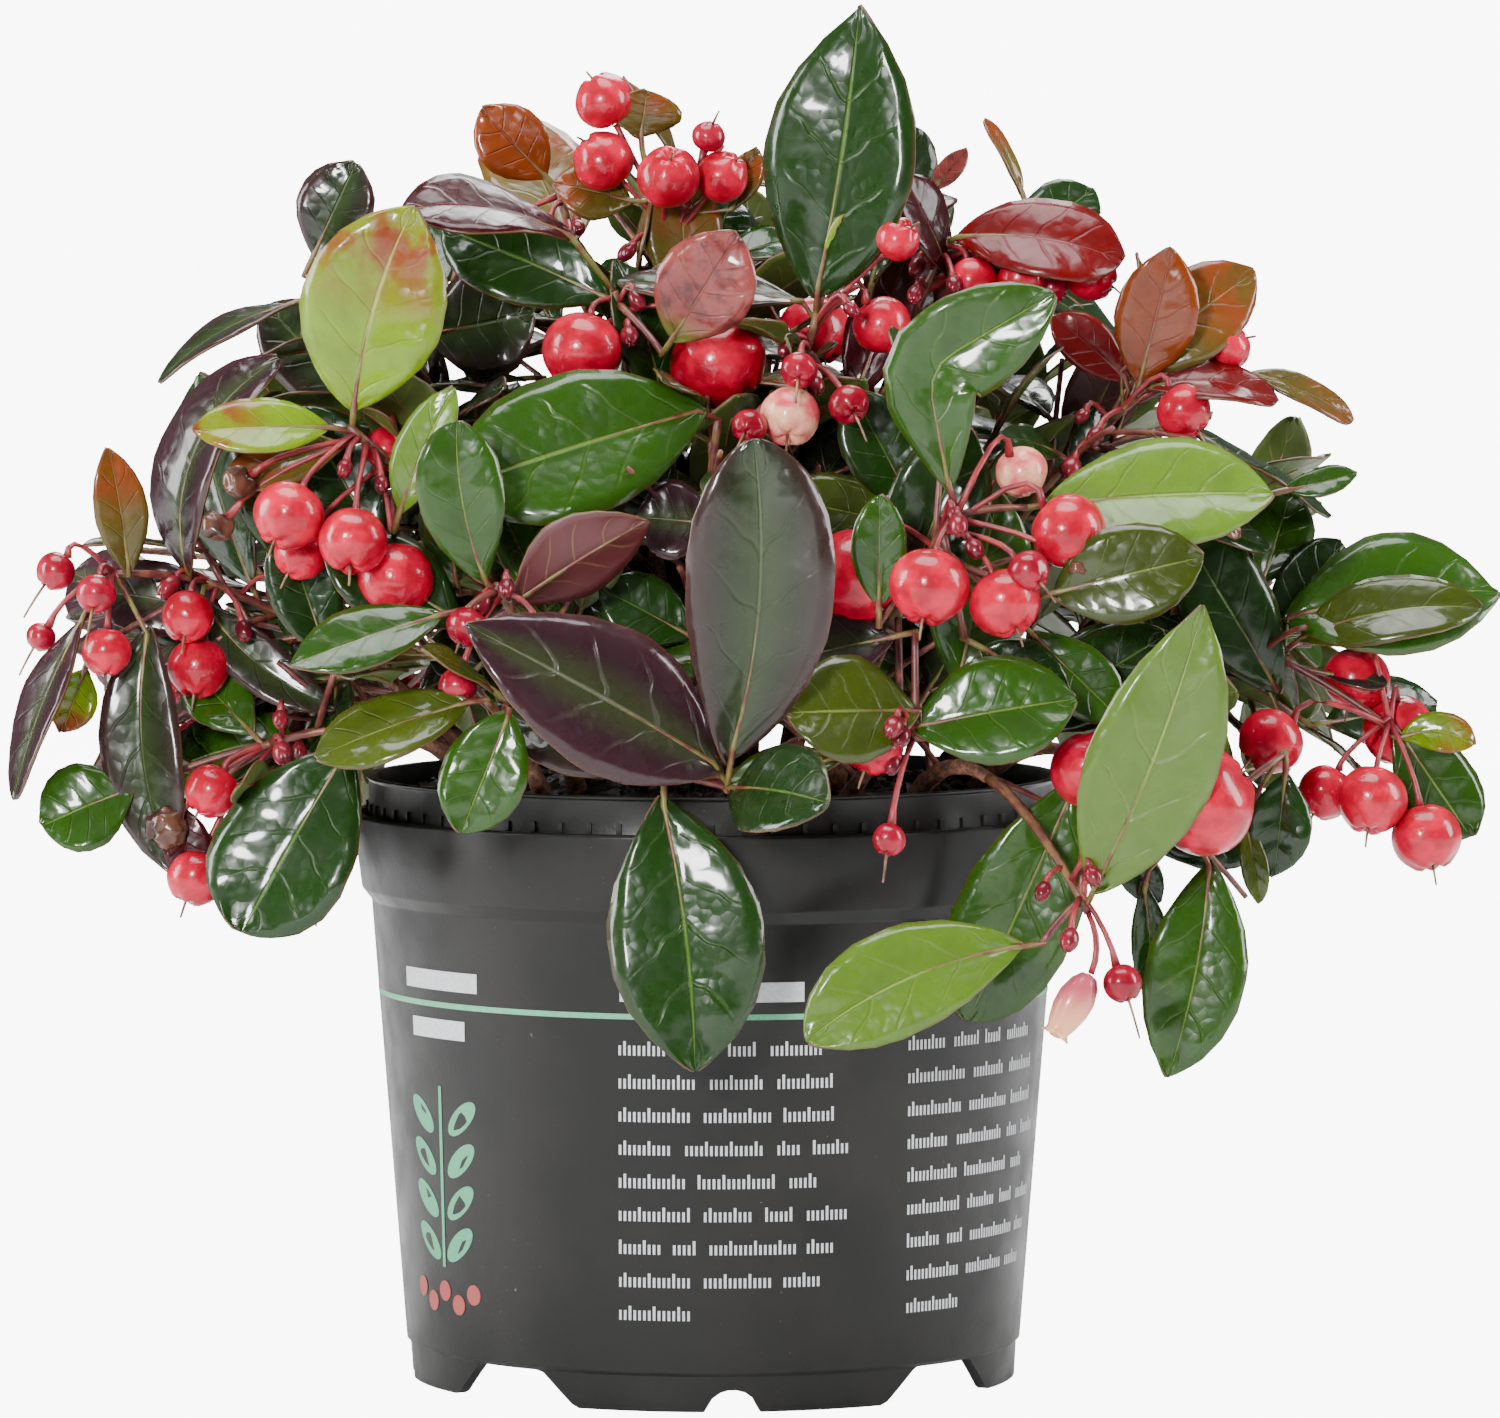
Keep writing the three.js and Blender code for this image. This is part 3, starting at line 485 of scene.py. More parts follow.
# %% Shoots
SHOOTS = [
    {"name": "crest", "foot": (4, 12), "node": (17, 30, 177), "fill": 4, "tints": "deep green",
     "leaves": [(8.5, 4, 48.5, 26, -20, 6, 14, -12, -0.7, 0, "deep"),
                (-84, -5, 31, 12, 0, 60, 10, 0, 1.5, 3, "night"),
                (20, 22, 12, 5, 0, 0, 0, 0, 1.6, 6, "lime")],
     "fruit": [(13, 6, 12, 7.6), (10.5, -4, -2, 10), (-3, 13, -9, 6.3), (5, 14, -14.5, 6.7),
               (-4.5, 12, -16.5, 10), (-11, 16, -18, 6)]},
    {"name": "maroon", "foot": (-6, 10), "node": (-16, 28, 180.5), "fill": 4, "tints": "deep night",
     "leaves": [(-81, 12, 29.5, 19, -10, 62, 45, 0, -4.5, 8, "wine"),
                (-67, -12, 31, 17, 0, 22, 18, 0, 1.8, -1, "deep")],
     "fruit": [(-5.1, 4, -9.5, 13.4), (17, 0, -11.5, 16.5)],
     "arms": [{"to": (8, 8, -10), "leaves": [(32, 15, 21.5, 16, 10, 15, 35, 0, "dusty")]}]},
    {"name": "topfruit", "foot": (-2, -4), "node": (-9.5, 5, 196), "fill": 6, "tints": "deep olive",
     "leaves": [(-77, 5, 13.5, 11, 0, 30, 10, 0, -1, -1, "olive"),
                (24, 5, 11, 6, 0, 40, 0, 0, 11, -3, "olive"),
                (8, 10, 8, 12.5, 10, 20, 0, 0, -3.3, 10, "olive")],
     "fruit": [(-8.5, 0, 15.5, 10), (-8.5, 1, 5.6, 10.4), (2.2, 8, 3, 10.8), (11, 3, 3, 9),
               (8.8, 4, 9.6, 5.6)]},
    {"name": "yellow", "foot": (-18, 16), "node": (-58.5, 45, 159), "fill": 3, "tints": "deep moss",
     "leaves": [(17, 10, 35.3, 23.5, -5, 5, 12, 20, 0, 0, "lime"),
                (-91, 12, 22.5, 10.5, 0, 30, 15, 0, -1.5, 1, "lime"),
                (-106, -4, 20, 10, 0, 30, 10, 0, "olive")],
     "fruit": [(-9.3, 8, -14, 11.6), (1.1, 10, -18, 11.3), (7.6, 3, -24.5, 12.5), (-7.7, 0, -20.5, 9),
               (6, -10, -4, 8)],
     "arms": [{"to": (7.5, 3, -16.5), "leaves": [(24, 6, 22.5, 10, -20, 20, 30, 0, "bright")]}]},
    {"name": "dusk", "foot": (-20, 2), "node": (-53, 12, 174), "fill": 4, "tints": "night deep",
     "leaves": [(78, 8, 18, 19, 5, 10, 10, 0, 2.8, -1, "night")],
     "arms": [{"to": (-14, 0, 9), "leaves": [(25, 5, 17.3, 13.2, -10, 10, 10, 0, "night")]},
              {"to": (-12.5, 0, 5), "leaves": [(-120, 8, 27, 10, -20, 72, 40, 0, "night")]}]},
    {"name": "russet", "foot": (-10, -16), "node": (-26, -12, 197.5), "fill": 7, "tints": "deep olive",
     "leaves": [(-44, 5, 16, 12, -10, 10, 20, 0, "bronze")],
     "fruit": [(-12, -4, -10.5, 9)]},
    {"name": "leftarm", "foot": (-36, 14), "node": (-84, 30, 134), "fill": 3, "tints": "deep plum",
     "leaves": [(22, 4, 44, 20, -55, 15, 95, 0, -0.4, -2.8, "plum"),
                (129, 14, 30, 9, -10, 25, 10, -40, -2.4, 0, "night")],
     "fruit": [(-1, 7, -6, 9), (0.5, 4, -14.5, 10.4)],
     "arms": [{"to": (-13, 8, 1),
               "leaves": [(174, 6, 41, 14, -15, 15, 12, -33, 6.4, -5.4, "night"),
                          (-159, 6, 33, 14, -60, 20, 20, 0, -2.8, -3.5, "plum"),
                          (-9, 4, 21, 9, 20, 10, 20, 0, 3, -3, "olive")],
               "fruit": [(-9, 3, 0.5, 6.5), (-2.3, 6, -3, 6.8), (-0.8, 4, -12.5, 8.6),
                         (-12, -4, -10.5, 5)]}]},
    {"name": "leftlow", "foot": (-37, 27), "node": (-73, 40, 107), "fill": 3, "tints": "green deep",
     "leaves": [(-47, -32, 17, 11, 0, 20, 10, 0, "green")],
     "fruit": [(-8, 2, -7, 9), (-10.5, 2, -21, 9.7), (8, -3, -23, 8.5)],
     "arms": [{"to": (16, 12, 3.8), "leaves": [(-150, 8, 35, 24, -10, 15, 10, 0, 0.5, 0, "deep")]},
              {"to": (-18.5, 0, -6),
               "leaves": [(-113, 5, 16, 15, -5, 20, 15, 0, 0.5, 0.5, "green"),
                          (170, 4, 13, 8, 0, 10, 50, 0, 5, -1, "wine")]}]},
    {"name": "frontleft", "foot": (-22, 34), "node": (-34.5, 58, 134), "fill": 3, "tints": "green deep",
     "leaves": [(-10, 8, 27, 14, 0, 5, 18, 25, -0.5, -2, "green"),
                (58, 6, 26, 16, 15, 145, 15, 0, -0.4, -4, "plum")],
     "fruit": [(-4.6, 3, -6.4, 6.8), (-6, 3, -16, 6.6)],
     "arms": [{"to": (-4.5, 3, -3.7), "leaves": [(-108, 10, 26, 12, 0, 40, 12, 0, -1, 0, "green")]}]},
    {"name": "rimleft", "foot": (-27, 43), "node": (-36, 64, 116), "fill": 1, "tints": "moss green",
     "leaves": [(-110, 6, 26, 14, -5, 45, 15, 0, 0, 0.7, "moss"),
                (-158, 3, 21, 14, 0, 12, 8, 0, 4.8, 1.5, "green")]},
    {"name": "darkpair", "foot": (4, 44), "node": (2.5, 61, 101.5), "fill": 1, "tints": "deep plum",
     "leaves": [(4.5, 12, 54, 24, 0, 5, 14, -25, -0.8, 1.5, "night"),
                (-60, 12, 48.5, 24, -5, 25, 16, 0, 1.8, 1.5, "plum")],
     "arms": [{"to": (-10, 2, 2.2), "leaves": [(173, 7, 44.5, 25, 0, 8, 12, 12, -1.2, 0, "deep")]}]},
    {"name": "rimright", "foot": (22, 42), "node": (33, 57, 110), "fill": 2, "tints": "moss green",
     "leaves": [(-90, 16, 22, 18, 0, 20, 10, 0, 3, 4, "moss"),
                (80, 4, 27, 18, 0, 20, 12, 0, -3.8, 0.8, "green"),
                (-103, 10, 19, 9, 0, 40, 20, 0, -8.6, -3, "green")],
     "fruit": [(-7, 0, -2, 9.9), (-4.8, 10, -16, 5.6)],
     "arms": [{"to": (-0.5, -2, 16.3), "leaves": [(-102, 0, 22, 13, 0, 20, 10, 0, "plum")]}]},
    {"name": "rightfruit", "foot": (20, 30), "node": (39.5, 55, 146), "fill": 3, "tints": "green deep",
     "leaves": [(24, 6, 43, 17, 0, 15, 10, 70, -0.5, 0, "green")],
     "fruit": [(-4.8, 6, -12, 13.5), (7.2, 6, -14.6, 11.5), (10.9, 8, -9.6, 7.2), (17.6, 1, -3.4, 12.8),
               (-16.3, -5, -11, 16.5)],
     "arms": [{"to": (-12.8, 2, -18.3), "leaves": [(0, 6, 18, 9, 0, 5, 10, 0, "green")]},
              {"to": (11, -8, 0), "leaves": [(87, 2, 37, 19.5, 5, 30, 20, 0, "bright")]},
              {"to": (12, 4, -14), "leaves": [(76, 6, 25, 16, 0, 10, 20, 0, "moss")]},
              {"to": (-5, -22, -4),
               "leaves": [(-28, 0, 22, 13, 0, 10, 10, 0, "deep"), (-78, 4, 20, 12, 0, 20, 10, 0, "moss")]}]},
    {"name": "bronze", "foot": (26, 12), "node": (69, 25, 163), "fill": 4, "tints": "deep bronze",
     "leaves": [(13, 10, 23.2, 13.5, 0, 8, 10, 0, 0.5, 0, "bronze"),
                (54, -8, 28, 15, 10, 20, 20, 0, -3.4, 4, "olive"),
                (96, 8, 22.5, 12, 0, 60, 60, 0, 1.7, 2.9, "scarlet"),
                (-49, 2, 16.5, 8.5, -10, 20, 20, 0, 4.6, 4, "scarlet")],
     "fruit": [(15.4, -3, 8.3, 7.4), (7.7, 4, -2, 9.3)],
     "arms": [{"to": (15.5, -10, 4.5), "leaves": [(115, -4, 20, 7.5, 20, 50, 40, 0, "olive")]}]},
    {"name": "scarlet", "foot": (12, -2), "node": (39, 15, 189), "fill": 6, "tints": "wine deep",
     "leaves": [(98, 8, 29, 16, 0, 35, 55, 0, -1.5, 0.4, "scarlet"),
                (-26, 12, 19, 12, 30, 45, 20, 0, 1.8, -7, "wine"),
                (42, -12, 9.5, 4, 20, 20, 0, 0, -3.7, 8.7, "dusty")],
     "fruit": [(3.6, 3, -7, 8.5), (11.5, 4, -6.6, 8), (16.8, 2, -8.2, 5.2), (23, 2, -6, 9)],
     "arms": [{"to": (13, -8, 4.5), "leaves": [(-27, -8, 14, 5, 60, 10, 20, 0, "olive")]}]},
    {"name": "farright", "foot": (40, 8), "node": (95, 15, 120), "fill": 3, "tints": "green deep",
     "leaves": [(83, -4, 37, 22, 0, 30, 45, 0, -3.4, 5.5, "green"),
                (80, 8, 32, 13, 0, 35, 60, 0, 1, 1.8, "moss"),
                (-31, 4, 31, 15.5, 0, 20, 20, 0, 2.8, -8.7, "deep"),
                (-66, 8, 18, 11, 0, 40, 10, 0, 0, -1, "deep"),
                (100, 20, 11, 5, 0, 50, 20, 0, 8.5, -2.6, "plum"),
                (-150, 16, 9, 8, 0, 10, 10, 0, 6.5, -7.6, "deep")],
     "arms": [{"to": (16, 5, -11),
               "leaves": [(145, -6, 22, 14, 5, 20, 10, 0, -0.7, 2, "green"),
                          (95, 14, 13, 7, 0, 20, 30, 60, -1, -3.3, "lime")],
               "fruit": [(-19.7, 5, -2, 10.7), (-4.9, -7, 7.4, 11.5), (2, -7, -1, 12.3),
                         (-3.3, 7, -11.5, 11.8), (5.7, 6, -17.7, 11.6), (-10.5, 1, -10.7, 9.5)]}]},
    {"name": "lowright", "foot": (33, 35), "node": (60, 62, 82), "fill": 1, "tints": "green deep",
     "leaves": [(20.5, 8, 50, 21, 8, 10, 12, -12, -0.3, 0, "bright")],
     "fruit": [(0.8, -12, 21.8, 13), (18.3, -6, 17.5, 18.5), (5.4, 4, -11, 6.5), (-4, 4, -13, 7)],
     "arms": [{"to": (-7.5, 4, -4.7), "leaves": [(-113, 8, 38.5, 17.5, 0, 15, 14, -30, "bright")]},
              {"to": (0, -14, 23), "leaves": [(204, -2, 43, 20, 5, 12, 10, 0, "green")]}]},
    {"name": "shade", "foot": (43, 21), "node": (78, 44, 92), "fill": 1, "tints": "deep moss",
     "leaves": [(191, 4, 36, 16.5, 0, 10, 10, 15, 3, -0.5, "green"),
                (178, -4, 18.5, 6, 0, 15, 10, 20, -7.8, -5, "deep")],
     "arms": [{"to": (14.7, -6, 13.7),
               "leaves": [(186, 0, 17, 10.5, 0, 15, 10, 0, 0.5, 0, "deep"),
                          (170, 3, 14, 4.5, 0, 15, 10, 0, -6.8, -7.4, "moss")]}]},
    {"name": "bigleaf", "foot": (-4, 28), "node": (1, 41, 160), "fill": 2, "tints": "green deep",
     "leaves": [(-107, 10, 42, 25, 0, 20, 16, 0, 1, 3, "green")],
     "arms": [{"to": (2, 4, -17), "leaves": [(-85, 0, 12.5, 13.5, 0, 20, 10, 0, "plum")]},
              {"to": (-1.5, 3, -36.5), "leaves": [(-62, 0, 17, 12, 0, 20, 10, 0, "deep")]}]},
    {"name": "backleft", "foot": (-32, -14), "node": (-66, -28, 150), "fill": 8, "tints": "green deep",
     "berries": 2},
    {"name": "backfarleft", "foot": (-40, -6), "node": (-88, -8, 122), "fill": 7, "tints": "plum deep",
     "berries": 2},
    {"name": "backlowleft", "foot": (-30, -32), "node": (-58, -68, 118), "fill": 8, "tints": "deep moss",
     "berries": 2},
    {"name": "backmiddle", "foot": (-6, -42), "node": (-14, -78, 132), "fill": 9, "tints": "green bright",
     "berries": 2},
    {"name": "backtop", "foot": (6, -24), "node": (10, -40, 180), "fill": 10, "tints": "deep wine",
     "berries": 2},
    {"name": "backright", "foot": (24, -30), "node": (48, -62, 148), "fill": 9, "tints": "moss green",
     "berries": 2},
    {"name": "backfarright", "foot": (38, -14), "node": (88, -36, 126), "fill": 7, "tints": "green night",
     "berries": 2},
]

# %% Small leaves between the shoots
# A row has the shoot, a share along its stem, the twig's tip from the node, and the leaf.
EXTRA_LEAVES = [
    ("darkpair", 0.8, (-8.8, -11, 1.5), (-70, -4, 29, 14, 0, 30, 12, 0, "night")),
    ("bronze", 0.85, (22, -6, -16), (76, 0, 12, 5.5, 0, 30, 0, 0, "green")),
    ("leftarm", 0.95, (-17, 2, -12), (200, 0, 11, 8, 0, 10, 0, 0, "lime")),
    ("rightfruit", 0.9, (1, -6, -21), (118, 4, 16, 10, 0, 15, 10, 0, "deep")),
    ("rightfruit", 0.85, (9.5, -7, -18), (134, 4, 20, 11, 0, 15, 10, 0, "green")),
    ("frontleft", 0.85, (-3, -10, -8), (-60, 0, 26, 15, 0, 20, 10, 0, "deep")),
    ("leftlow", 0.8, (12, 2, 12), (-20, -4, 22, 12, 0, 20, 10, 0, "deep")),
    ("rimright", 0.8, (-3, -14, 18), (20, 0, 30, 17, 0, 15, 10, 0, "deep")),
    ("darkpair", 0.6, (12, -22, 6), (15, -4, 34, 18, 0, 20, 10, 0, "deep")),
    ("rimright", 0.7, (6, -16, 4), (12, -4, 32, 17, 10, 15, 10, 0, "green")),
    ("rimright", 0.9, (14, -10, -1), (58, -4, 28, 16, 0, 20, 10, 0, "deep")),
    ("yellow", 0.85, (6, -8, -22), (-30, -8, 26, 15, 0, 10, 10, 0, "deep")),
]


def arms_of(shoot):
    """The shoot's arms, if it has any."""
    return shoot.get("arms", [])


def shoot_named(name):
    """The shoot of this name."""
    return next(shoot for shoot in SHOOTS if shoot["name"] == name)


in_table = sum(len(holder.get("leaves", [])) for shoot in SHOOTS for holder in (shoot, *arms_of(shoot)))
print("shoots:", len(SHOOTS), "posed leaves:", in_table)

# %% [markdown]
# ## Curves, tubes and blades
# Stems, twigs, leaf stalks and berry stalks are all tubes along a curve of three points. The tube template is
# a straight cylinder, cut into rings, whose every ring is carried to its place on the curve.

# %% Sizes of the stems
# A place on a stem is a share of it, from 0 at its foot to 1 at its tip. A pair of radii is for the two ends.
GAP = 0.3
STEM_R = (1.7, 1.0)
SPRAY_R = (0.95, 0.7)
STEM_SHARE = 0.5
TWIG_R = (0.7, 0.6)
FINE_R = (0.6, 0.45)
ARM_AT = 0.97
HANGS, HIGH = -12, 140
LEAVES_AT, LEAF_STEP = 0.99, 0.018
STALKS_AT, STALK_STEP = 0.98, 0.035
TOP_LEAF_AT = 0.985
RULE_SPAN = 0.965 - STEM_SHARE
LEAF_L = (29, 41)
WIDE, WIDER = 0.48, 0.1
SPREAD = (38, 50, 14)
PETIOLE = 3
FOLD = math.radians(12)
GOLDEN = math.radians(137.508)
UP = np.array((0.0, 0.0, 1.0))


# %% Directions and curves
def unit(vector):
    """A direction of length one, or many of them."""
    return vector / np.linalg.norm(vector, axis=-1, keepdims=True)


def at_point(right, front, up):
    """A point given as right, towards the front and up."""
    return np.array((right, -front, up), float)


def aim(clock, front):
    """Which way a posed leaf points."""
    c, f = math.radians(clock), math.radians(front)
    return np.array((math.cos(f) * math.sin(c), -math.sin(f), math.cos(f) * math.cos(c)))


def look(turn, lift):
    """Which way the upper face of a posed leaf looks."""
    t, l = math.radians(turn), math.radians(lift)
    return np.array((math.cos(l) * math.sin(t), -math.cos(l) * math.cos(t), math.sin(l)))


def on_curve(curve, share):
    """Points on a curve of three control points at shares from 0 to 1."""
    s = np.asarray(share, float)[..., None]
    start, bend, end = curve
    return (1 - s) ** 2 * start + 2 * s * (1 - s) * bend + s ** 2 * end


def along_curve(curve, share):
    """Directions along a curve."""
    s = np.asarray(share, float)[..., None]
    start, bend, end = curve
    return unit((1 - s) * (bend - start) + s * (end - bend))


def arched(start, tip, rise=1.0):
    """A short twig's curve, which arches up a little."""
    return start, (start + tip) / 2 + rise * UP, tip


def stem_curve(shoot):
    """A stem leaves the soil steeply and arches out to its node."""
    x, front = shoot["foot"]
    start = at_point(x, front, soil_height(math.hypot(x, front)) + GAP + 0.2)
    end = at_point(*shoot["node"])
    out = math.hypot(*(end - start)[:2])
    bend = start + 0.35 * (end - start)
    bend[2] = start[2] + max(0.6 * (end[2] - start[2]), 0.42 * out)
    return start, bend, end


# %% Tube template
def tube_template(sides, rings):
    """A closed cylinder of radius 1 and length 1 from z = 0, cut into rings."""
    bm = bmesh.new()
    bmesh.ops.create_cone(bm, cap_ends=True, segments=sides, radius1=1, radius2=1, depth=1)
    bmesh.ops.translate(bm, verts=bm.verts, vec=(0, 0, 0.5))
    tall = [edge for edge in bm.edges if abs(edge.verts[0].co.z - edge.verts[1].co.z) > 0.5]
    bmesh.ops.subdivide_edges(bm, edges=tall, cuts=rings - 1, use_grid_fill=True)
    return mesh_of(f"tube {sides} {rings}", bm)


def tube(template, curve, ends, radii, bulge=0.0):
    """Points of a tube along a share of a curve. bulge swells both its ends."""
    local = points_of(template)
    share = local[:, 2]
    where = ends[0] + (ends[1] - ends[0]) * share
    ahead = along_curve(curve, where)
    right = unit(np.cross((1.0, 0.3, 0.0), ahead))
    front = np.cross(ahead, right)
    r = radii[0] + (radii[1] - radii[0]) * share
    r = r * (1 + bulge * (2 * np.abs(share - 0.5)) ** 6)
    middle = on_curve(curve, where)
    return middle + right * (local[:, :1] * r[:, None]) + front * (local[:, 1:2] * r[:, None])


# %% [markdown]
# A leaf starts as a flat grid with columns across and rows along. The first and last rows close to a point,
# and the rows are closer there, so the outline is round. Bending it then adds what makes a wintergreen leaf:
# halves that rise from the midrib, a margin with shallow teeth that turns down, swellings between the side
# veins, and a slow wave that is different in every leaf. These are drawn a little stronger than life, so that
# they show.

# %% Leaf template
ACROSS = 10
ALONG = 22


def leaf_template():
    """A grid from -1 to 1 across and from 0 to 1 along, with its own UV map."""
    bm = bmesh.new()
    bmesh.ops.create_grid(bm, x_segments=ACROSS, y_segments=ALONG, size=1)
    for vert in bm.verts:
        vert.co.x = math.copysign(abs(vert.co.x) ** 1.15, vert.co.x)
        vert.co.y = 0.5 - 0.5 * math.cos(math.pi * (vert.co.y + 1) / 2)
    for end in (0, 1):
        row = [vert for vert in bm.verts if abs(vert.co.y - end) < 1e-5]
        bmesh.ops.pointmerge(bm, verts=row, merge_co=(0, end, 0))
    uv = bm.loops.layers.uv.new("UVMap")
    for face in bm.faces:
        for loop in face.loops:
            loop[uv].uv = (loop.vert.co.x / 2 + 0.5, loop.vert.co.y)
    return mesh_of("leaf template", bm)


LEAF = leaf_template()
print("faces in a leaf:", len(LEAF.polygons))


# %% Bending a leaf
SHARP = math.radians(60)
SHARP_FROM, SHARP_OVER = 0.36, 0.2
MIDRIB_STEPS = 40
shape_dice = random.Random(3)


def leaf_half(leaf, s):
    """Half the width of a leaf at a share of its length, as a share of its widest half."""
    low, high = leaf["shape"]
    widest = low / (low + high)
    return (np.abs(s) / widest) ** low * (np.abs(1 - s) / (1 - widest)) ** high


def new_leaf(base, along, face, length, width, curl, bend, tint, offset=(0, 0, 0), shape=None):
    """A leaf's pose, with the directions of its side and its upper face."""
    side = unit(np.cross(along, face))
    shape = shape or (shape_dice.uniform(0.8, 0.95), shape_dice.uniform(0.58, 0.85))
    return {"twig": base, "base": base + np.array(offset, float), "along": along, "side": side,
            "up": np.cross(side, along), "length": length, "width": width, "curl": math.radians(curl),
            "bend": math.radians(bend), "tint": tint, "shape": shape,
            "fold": FOLD * shape_dice.uniform(0.5, 1.1)}


def headings(leaf, s):
    """The directions ahead, across and above at shares of a leaf's length."""
    pitch = leaf["curl"] * (0.5 - s)
    turned = np.clip((s - SHARP_FROM) / SHARP_OVER, 0, 1) if abs(leaf["bend"]) > SHARP else s
    yaw = leaf["bend"] * (turned - 0.5)
    flat = np.outer(np.cos(yaw), leaf["along"]) + np.outer(np.sin(yaw), leaf["side"])
    ahead = flat * np.cos(pitch)[:, None] + np.outer(np.sin(pitch), leaf["up"])
    across = unit(np.cross(ahead, leaf["up"]))
    return ahead, across, np.cross(across, ahead)


def midrib(leaf, s):
    """Points along the midrib, found by adding up short steps."""
    fine = np.linspace(0, 1, MIDRIB_STEPS + 1)
    ahead = headings(leaf, (fine[1:] + fine[:-1]) / 2)[0]
    path = np.vstack([np.zeros(3), np.cumsum(ahead * leaf["length"] / MIDRIB_STEPS, axis=0)])
    start = leaf["base"] + PETIOLE * headings(leaf, np.zeros(1))[0][0]
    return start + np.stack([np.interp(s, fine, path[:, axis]) for axis in range(3)], axis=1)


# %% Teeth, waves and swellings of a blade
TEETH = 9
TOOTH, WAVE, SWELL = 0.018, 0.035, 0.016  # shares of the leaf's width
TURNS_DOWN = 0.045
GROOVE_MM, GROOVE_HALF_MM = 0.22, 0.45


def blade(leaf, own):
    """Points of a leaf's blade. own is a number from 0 to 1 that makes it differ from the next one."""
    local = points_of(LEAF)
    u, s = local[:, 0], local[:, 1]
    across, above = headings(leaf, s)[1:]
    width = leaf["width"]
    half = width / 2 * leaf_half(leaf, s)
    tooth = TOOTH * width * np.abs(u) ** 12 * ((s * TEETH) % 1) * (s > 0.25) * (s < 0.95)
    x = u * half + np.sign(u) * tooth
    wave = WAVE * width * np.sin(math.tau * (1.3 * s + own) + 1.4 * np.sign(u)) * u ** 2
    between_veins = np.sin(math.tau * (4.5 * (s - 0.16 * np.abs(u))))
    swell = SWELL * width * between_veins * np.sin(math.pi * np.abs(u))
    turned_down = -TURNS_DOWN * half * u ** 6
    groove = -GROOVE_MM * np.exp(-((x / GROOVE_HALF_MM) ** 2)) * (1 - s)
    fold = leaf["fold"]
    lift = np.abs(x) * math.sin(fold) * (1 - 0.25 * u ** 2) + wave + swell + turned_down + groove
    return midrib(leaf, s) + across * (x * math.cos(fold))[:, None] + above * lift[:, None]


def outline(leaf):
    """A leaf as a few large faces, for finding what it would touch."""
    s = np.array([0.2, 0.5, 0.8])
    across, above = headings(leaf, s)[1:]
    middle = midrib(leaf, s)
    half = (leaf["width"] / 2 * leaf_half(leaf, s))[:, None]
    rise = above * half * math.sin(leaf["fold"])
    tip = midrib(leaf, np.ones(1))
    base = midrib(leaf, np.array([0.04]))
    points = np.vstack([base, middle - across * half + rise, middle, middle + across * half + rise, tip])
    faces = [(0, 4, 1), (0, 7, 4), (1, 4, 5, 2), (4, 7, 8, 5), (2, 5, 6, 3), (5, 8, 9, 6),
             (3, 6, 10), (6, 9, 10)]
    return points, faces


# %% [markdown]
# ## Growing the plant
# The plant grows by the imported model's rule, with the same seeds: stems, arms, posed leaves, berries, then
# leaves turned by the golden angle down each twig. The real shrub is denser, so the rule goes on here with
# finer side twigs. A leaf of the rule is skipped where it would cut through another leaf, a stem or a berry.
# It is skipped too where it would hide a posed leaf or berry from the camera, hang before the pot, or fill an
# opening of sky.

# %% Keeping clear
blades = []
berry_spots = []
RIM_CLEAR = 1.5
BERRY_CORE = 0.9


def keep(leaf):
    """Remember a leaf's place."""
    points, faces = outline(leaf)
    blades.append((points.min(0), points.max(0), BVHTree.FromPolygons(points.tolist(), faces)))


def is_clear(leaf):
    """True where a leaf cuts no other leaf, stem, berry or the pot."""
    points, faces = outline(leaf)
    x, y, z = points.T
    if ((z < POT_H + 1) & (np.hypot(x, y) < POT_TOP_R + RIM_CLEAR)).any():
        return False
    tree_of_leaf = BVHTree.FromPolygons(points.tolist(), faces)
    low, high = points.min(0), points.max(0)
    for other_low, other_high, other in blades:
        if (low < other_high).all() and (high > other_low).all() and tree_of_leaf.overlap(other):
            return False
    for middle, r in berry_spots:
        if tree_of_leaf.find_nearest(Vector(middle), r * BERRY_CORE)[0] is not None:
            return False
    return not any(tree_of_leaf.overlap(other) for other in stem_trees)


# %% What the camera sees
sight_lines = []


def seen_at(points):
    """Where points lie in the picture, in mm across and up in the plane of the pot's axis."""
    camera_x, camera_y, camera_z = np.array(CAMERA_AT) / MM
    from_camera = points - np.array(CAMERA_AT) / MM
    share = -camera_y / from_camera[:, 1]
    return np.column_stack([camera_x + from_camera[:, 0] * share, camera_z + from_camera[:, 2] * share])


# Boxes of the picture, as left, low, right, high, where there is sky beside the crown.
SKY = [(-200, 149, -92, 260), (-200, 142, -102, 260), (-200, 181, -70.4, 260), (-200, 203, -40.4, 260),
       (-200, 213, -23.8, 260), (-9, 208, 8, 260), (-200, 217, 9, 260), (35, 205, 200, 260),
       (69, 189.5, 200, 260), (94, 171, 200, 260), (107.5, 146, 200, 260), (96, -10, 200, 82),
       (-200, -10, -83.7, 86), (-200, -10, -112, 260)]


def in_sky(leaf):
    """True where a leaf would close an opening that the photograph shows."""
    seen = seen_at(outline(leaf)[0])
    return any(((seen > box[:2]) & (seen < box[2:])).all(1).any() for box in SKY)


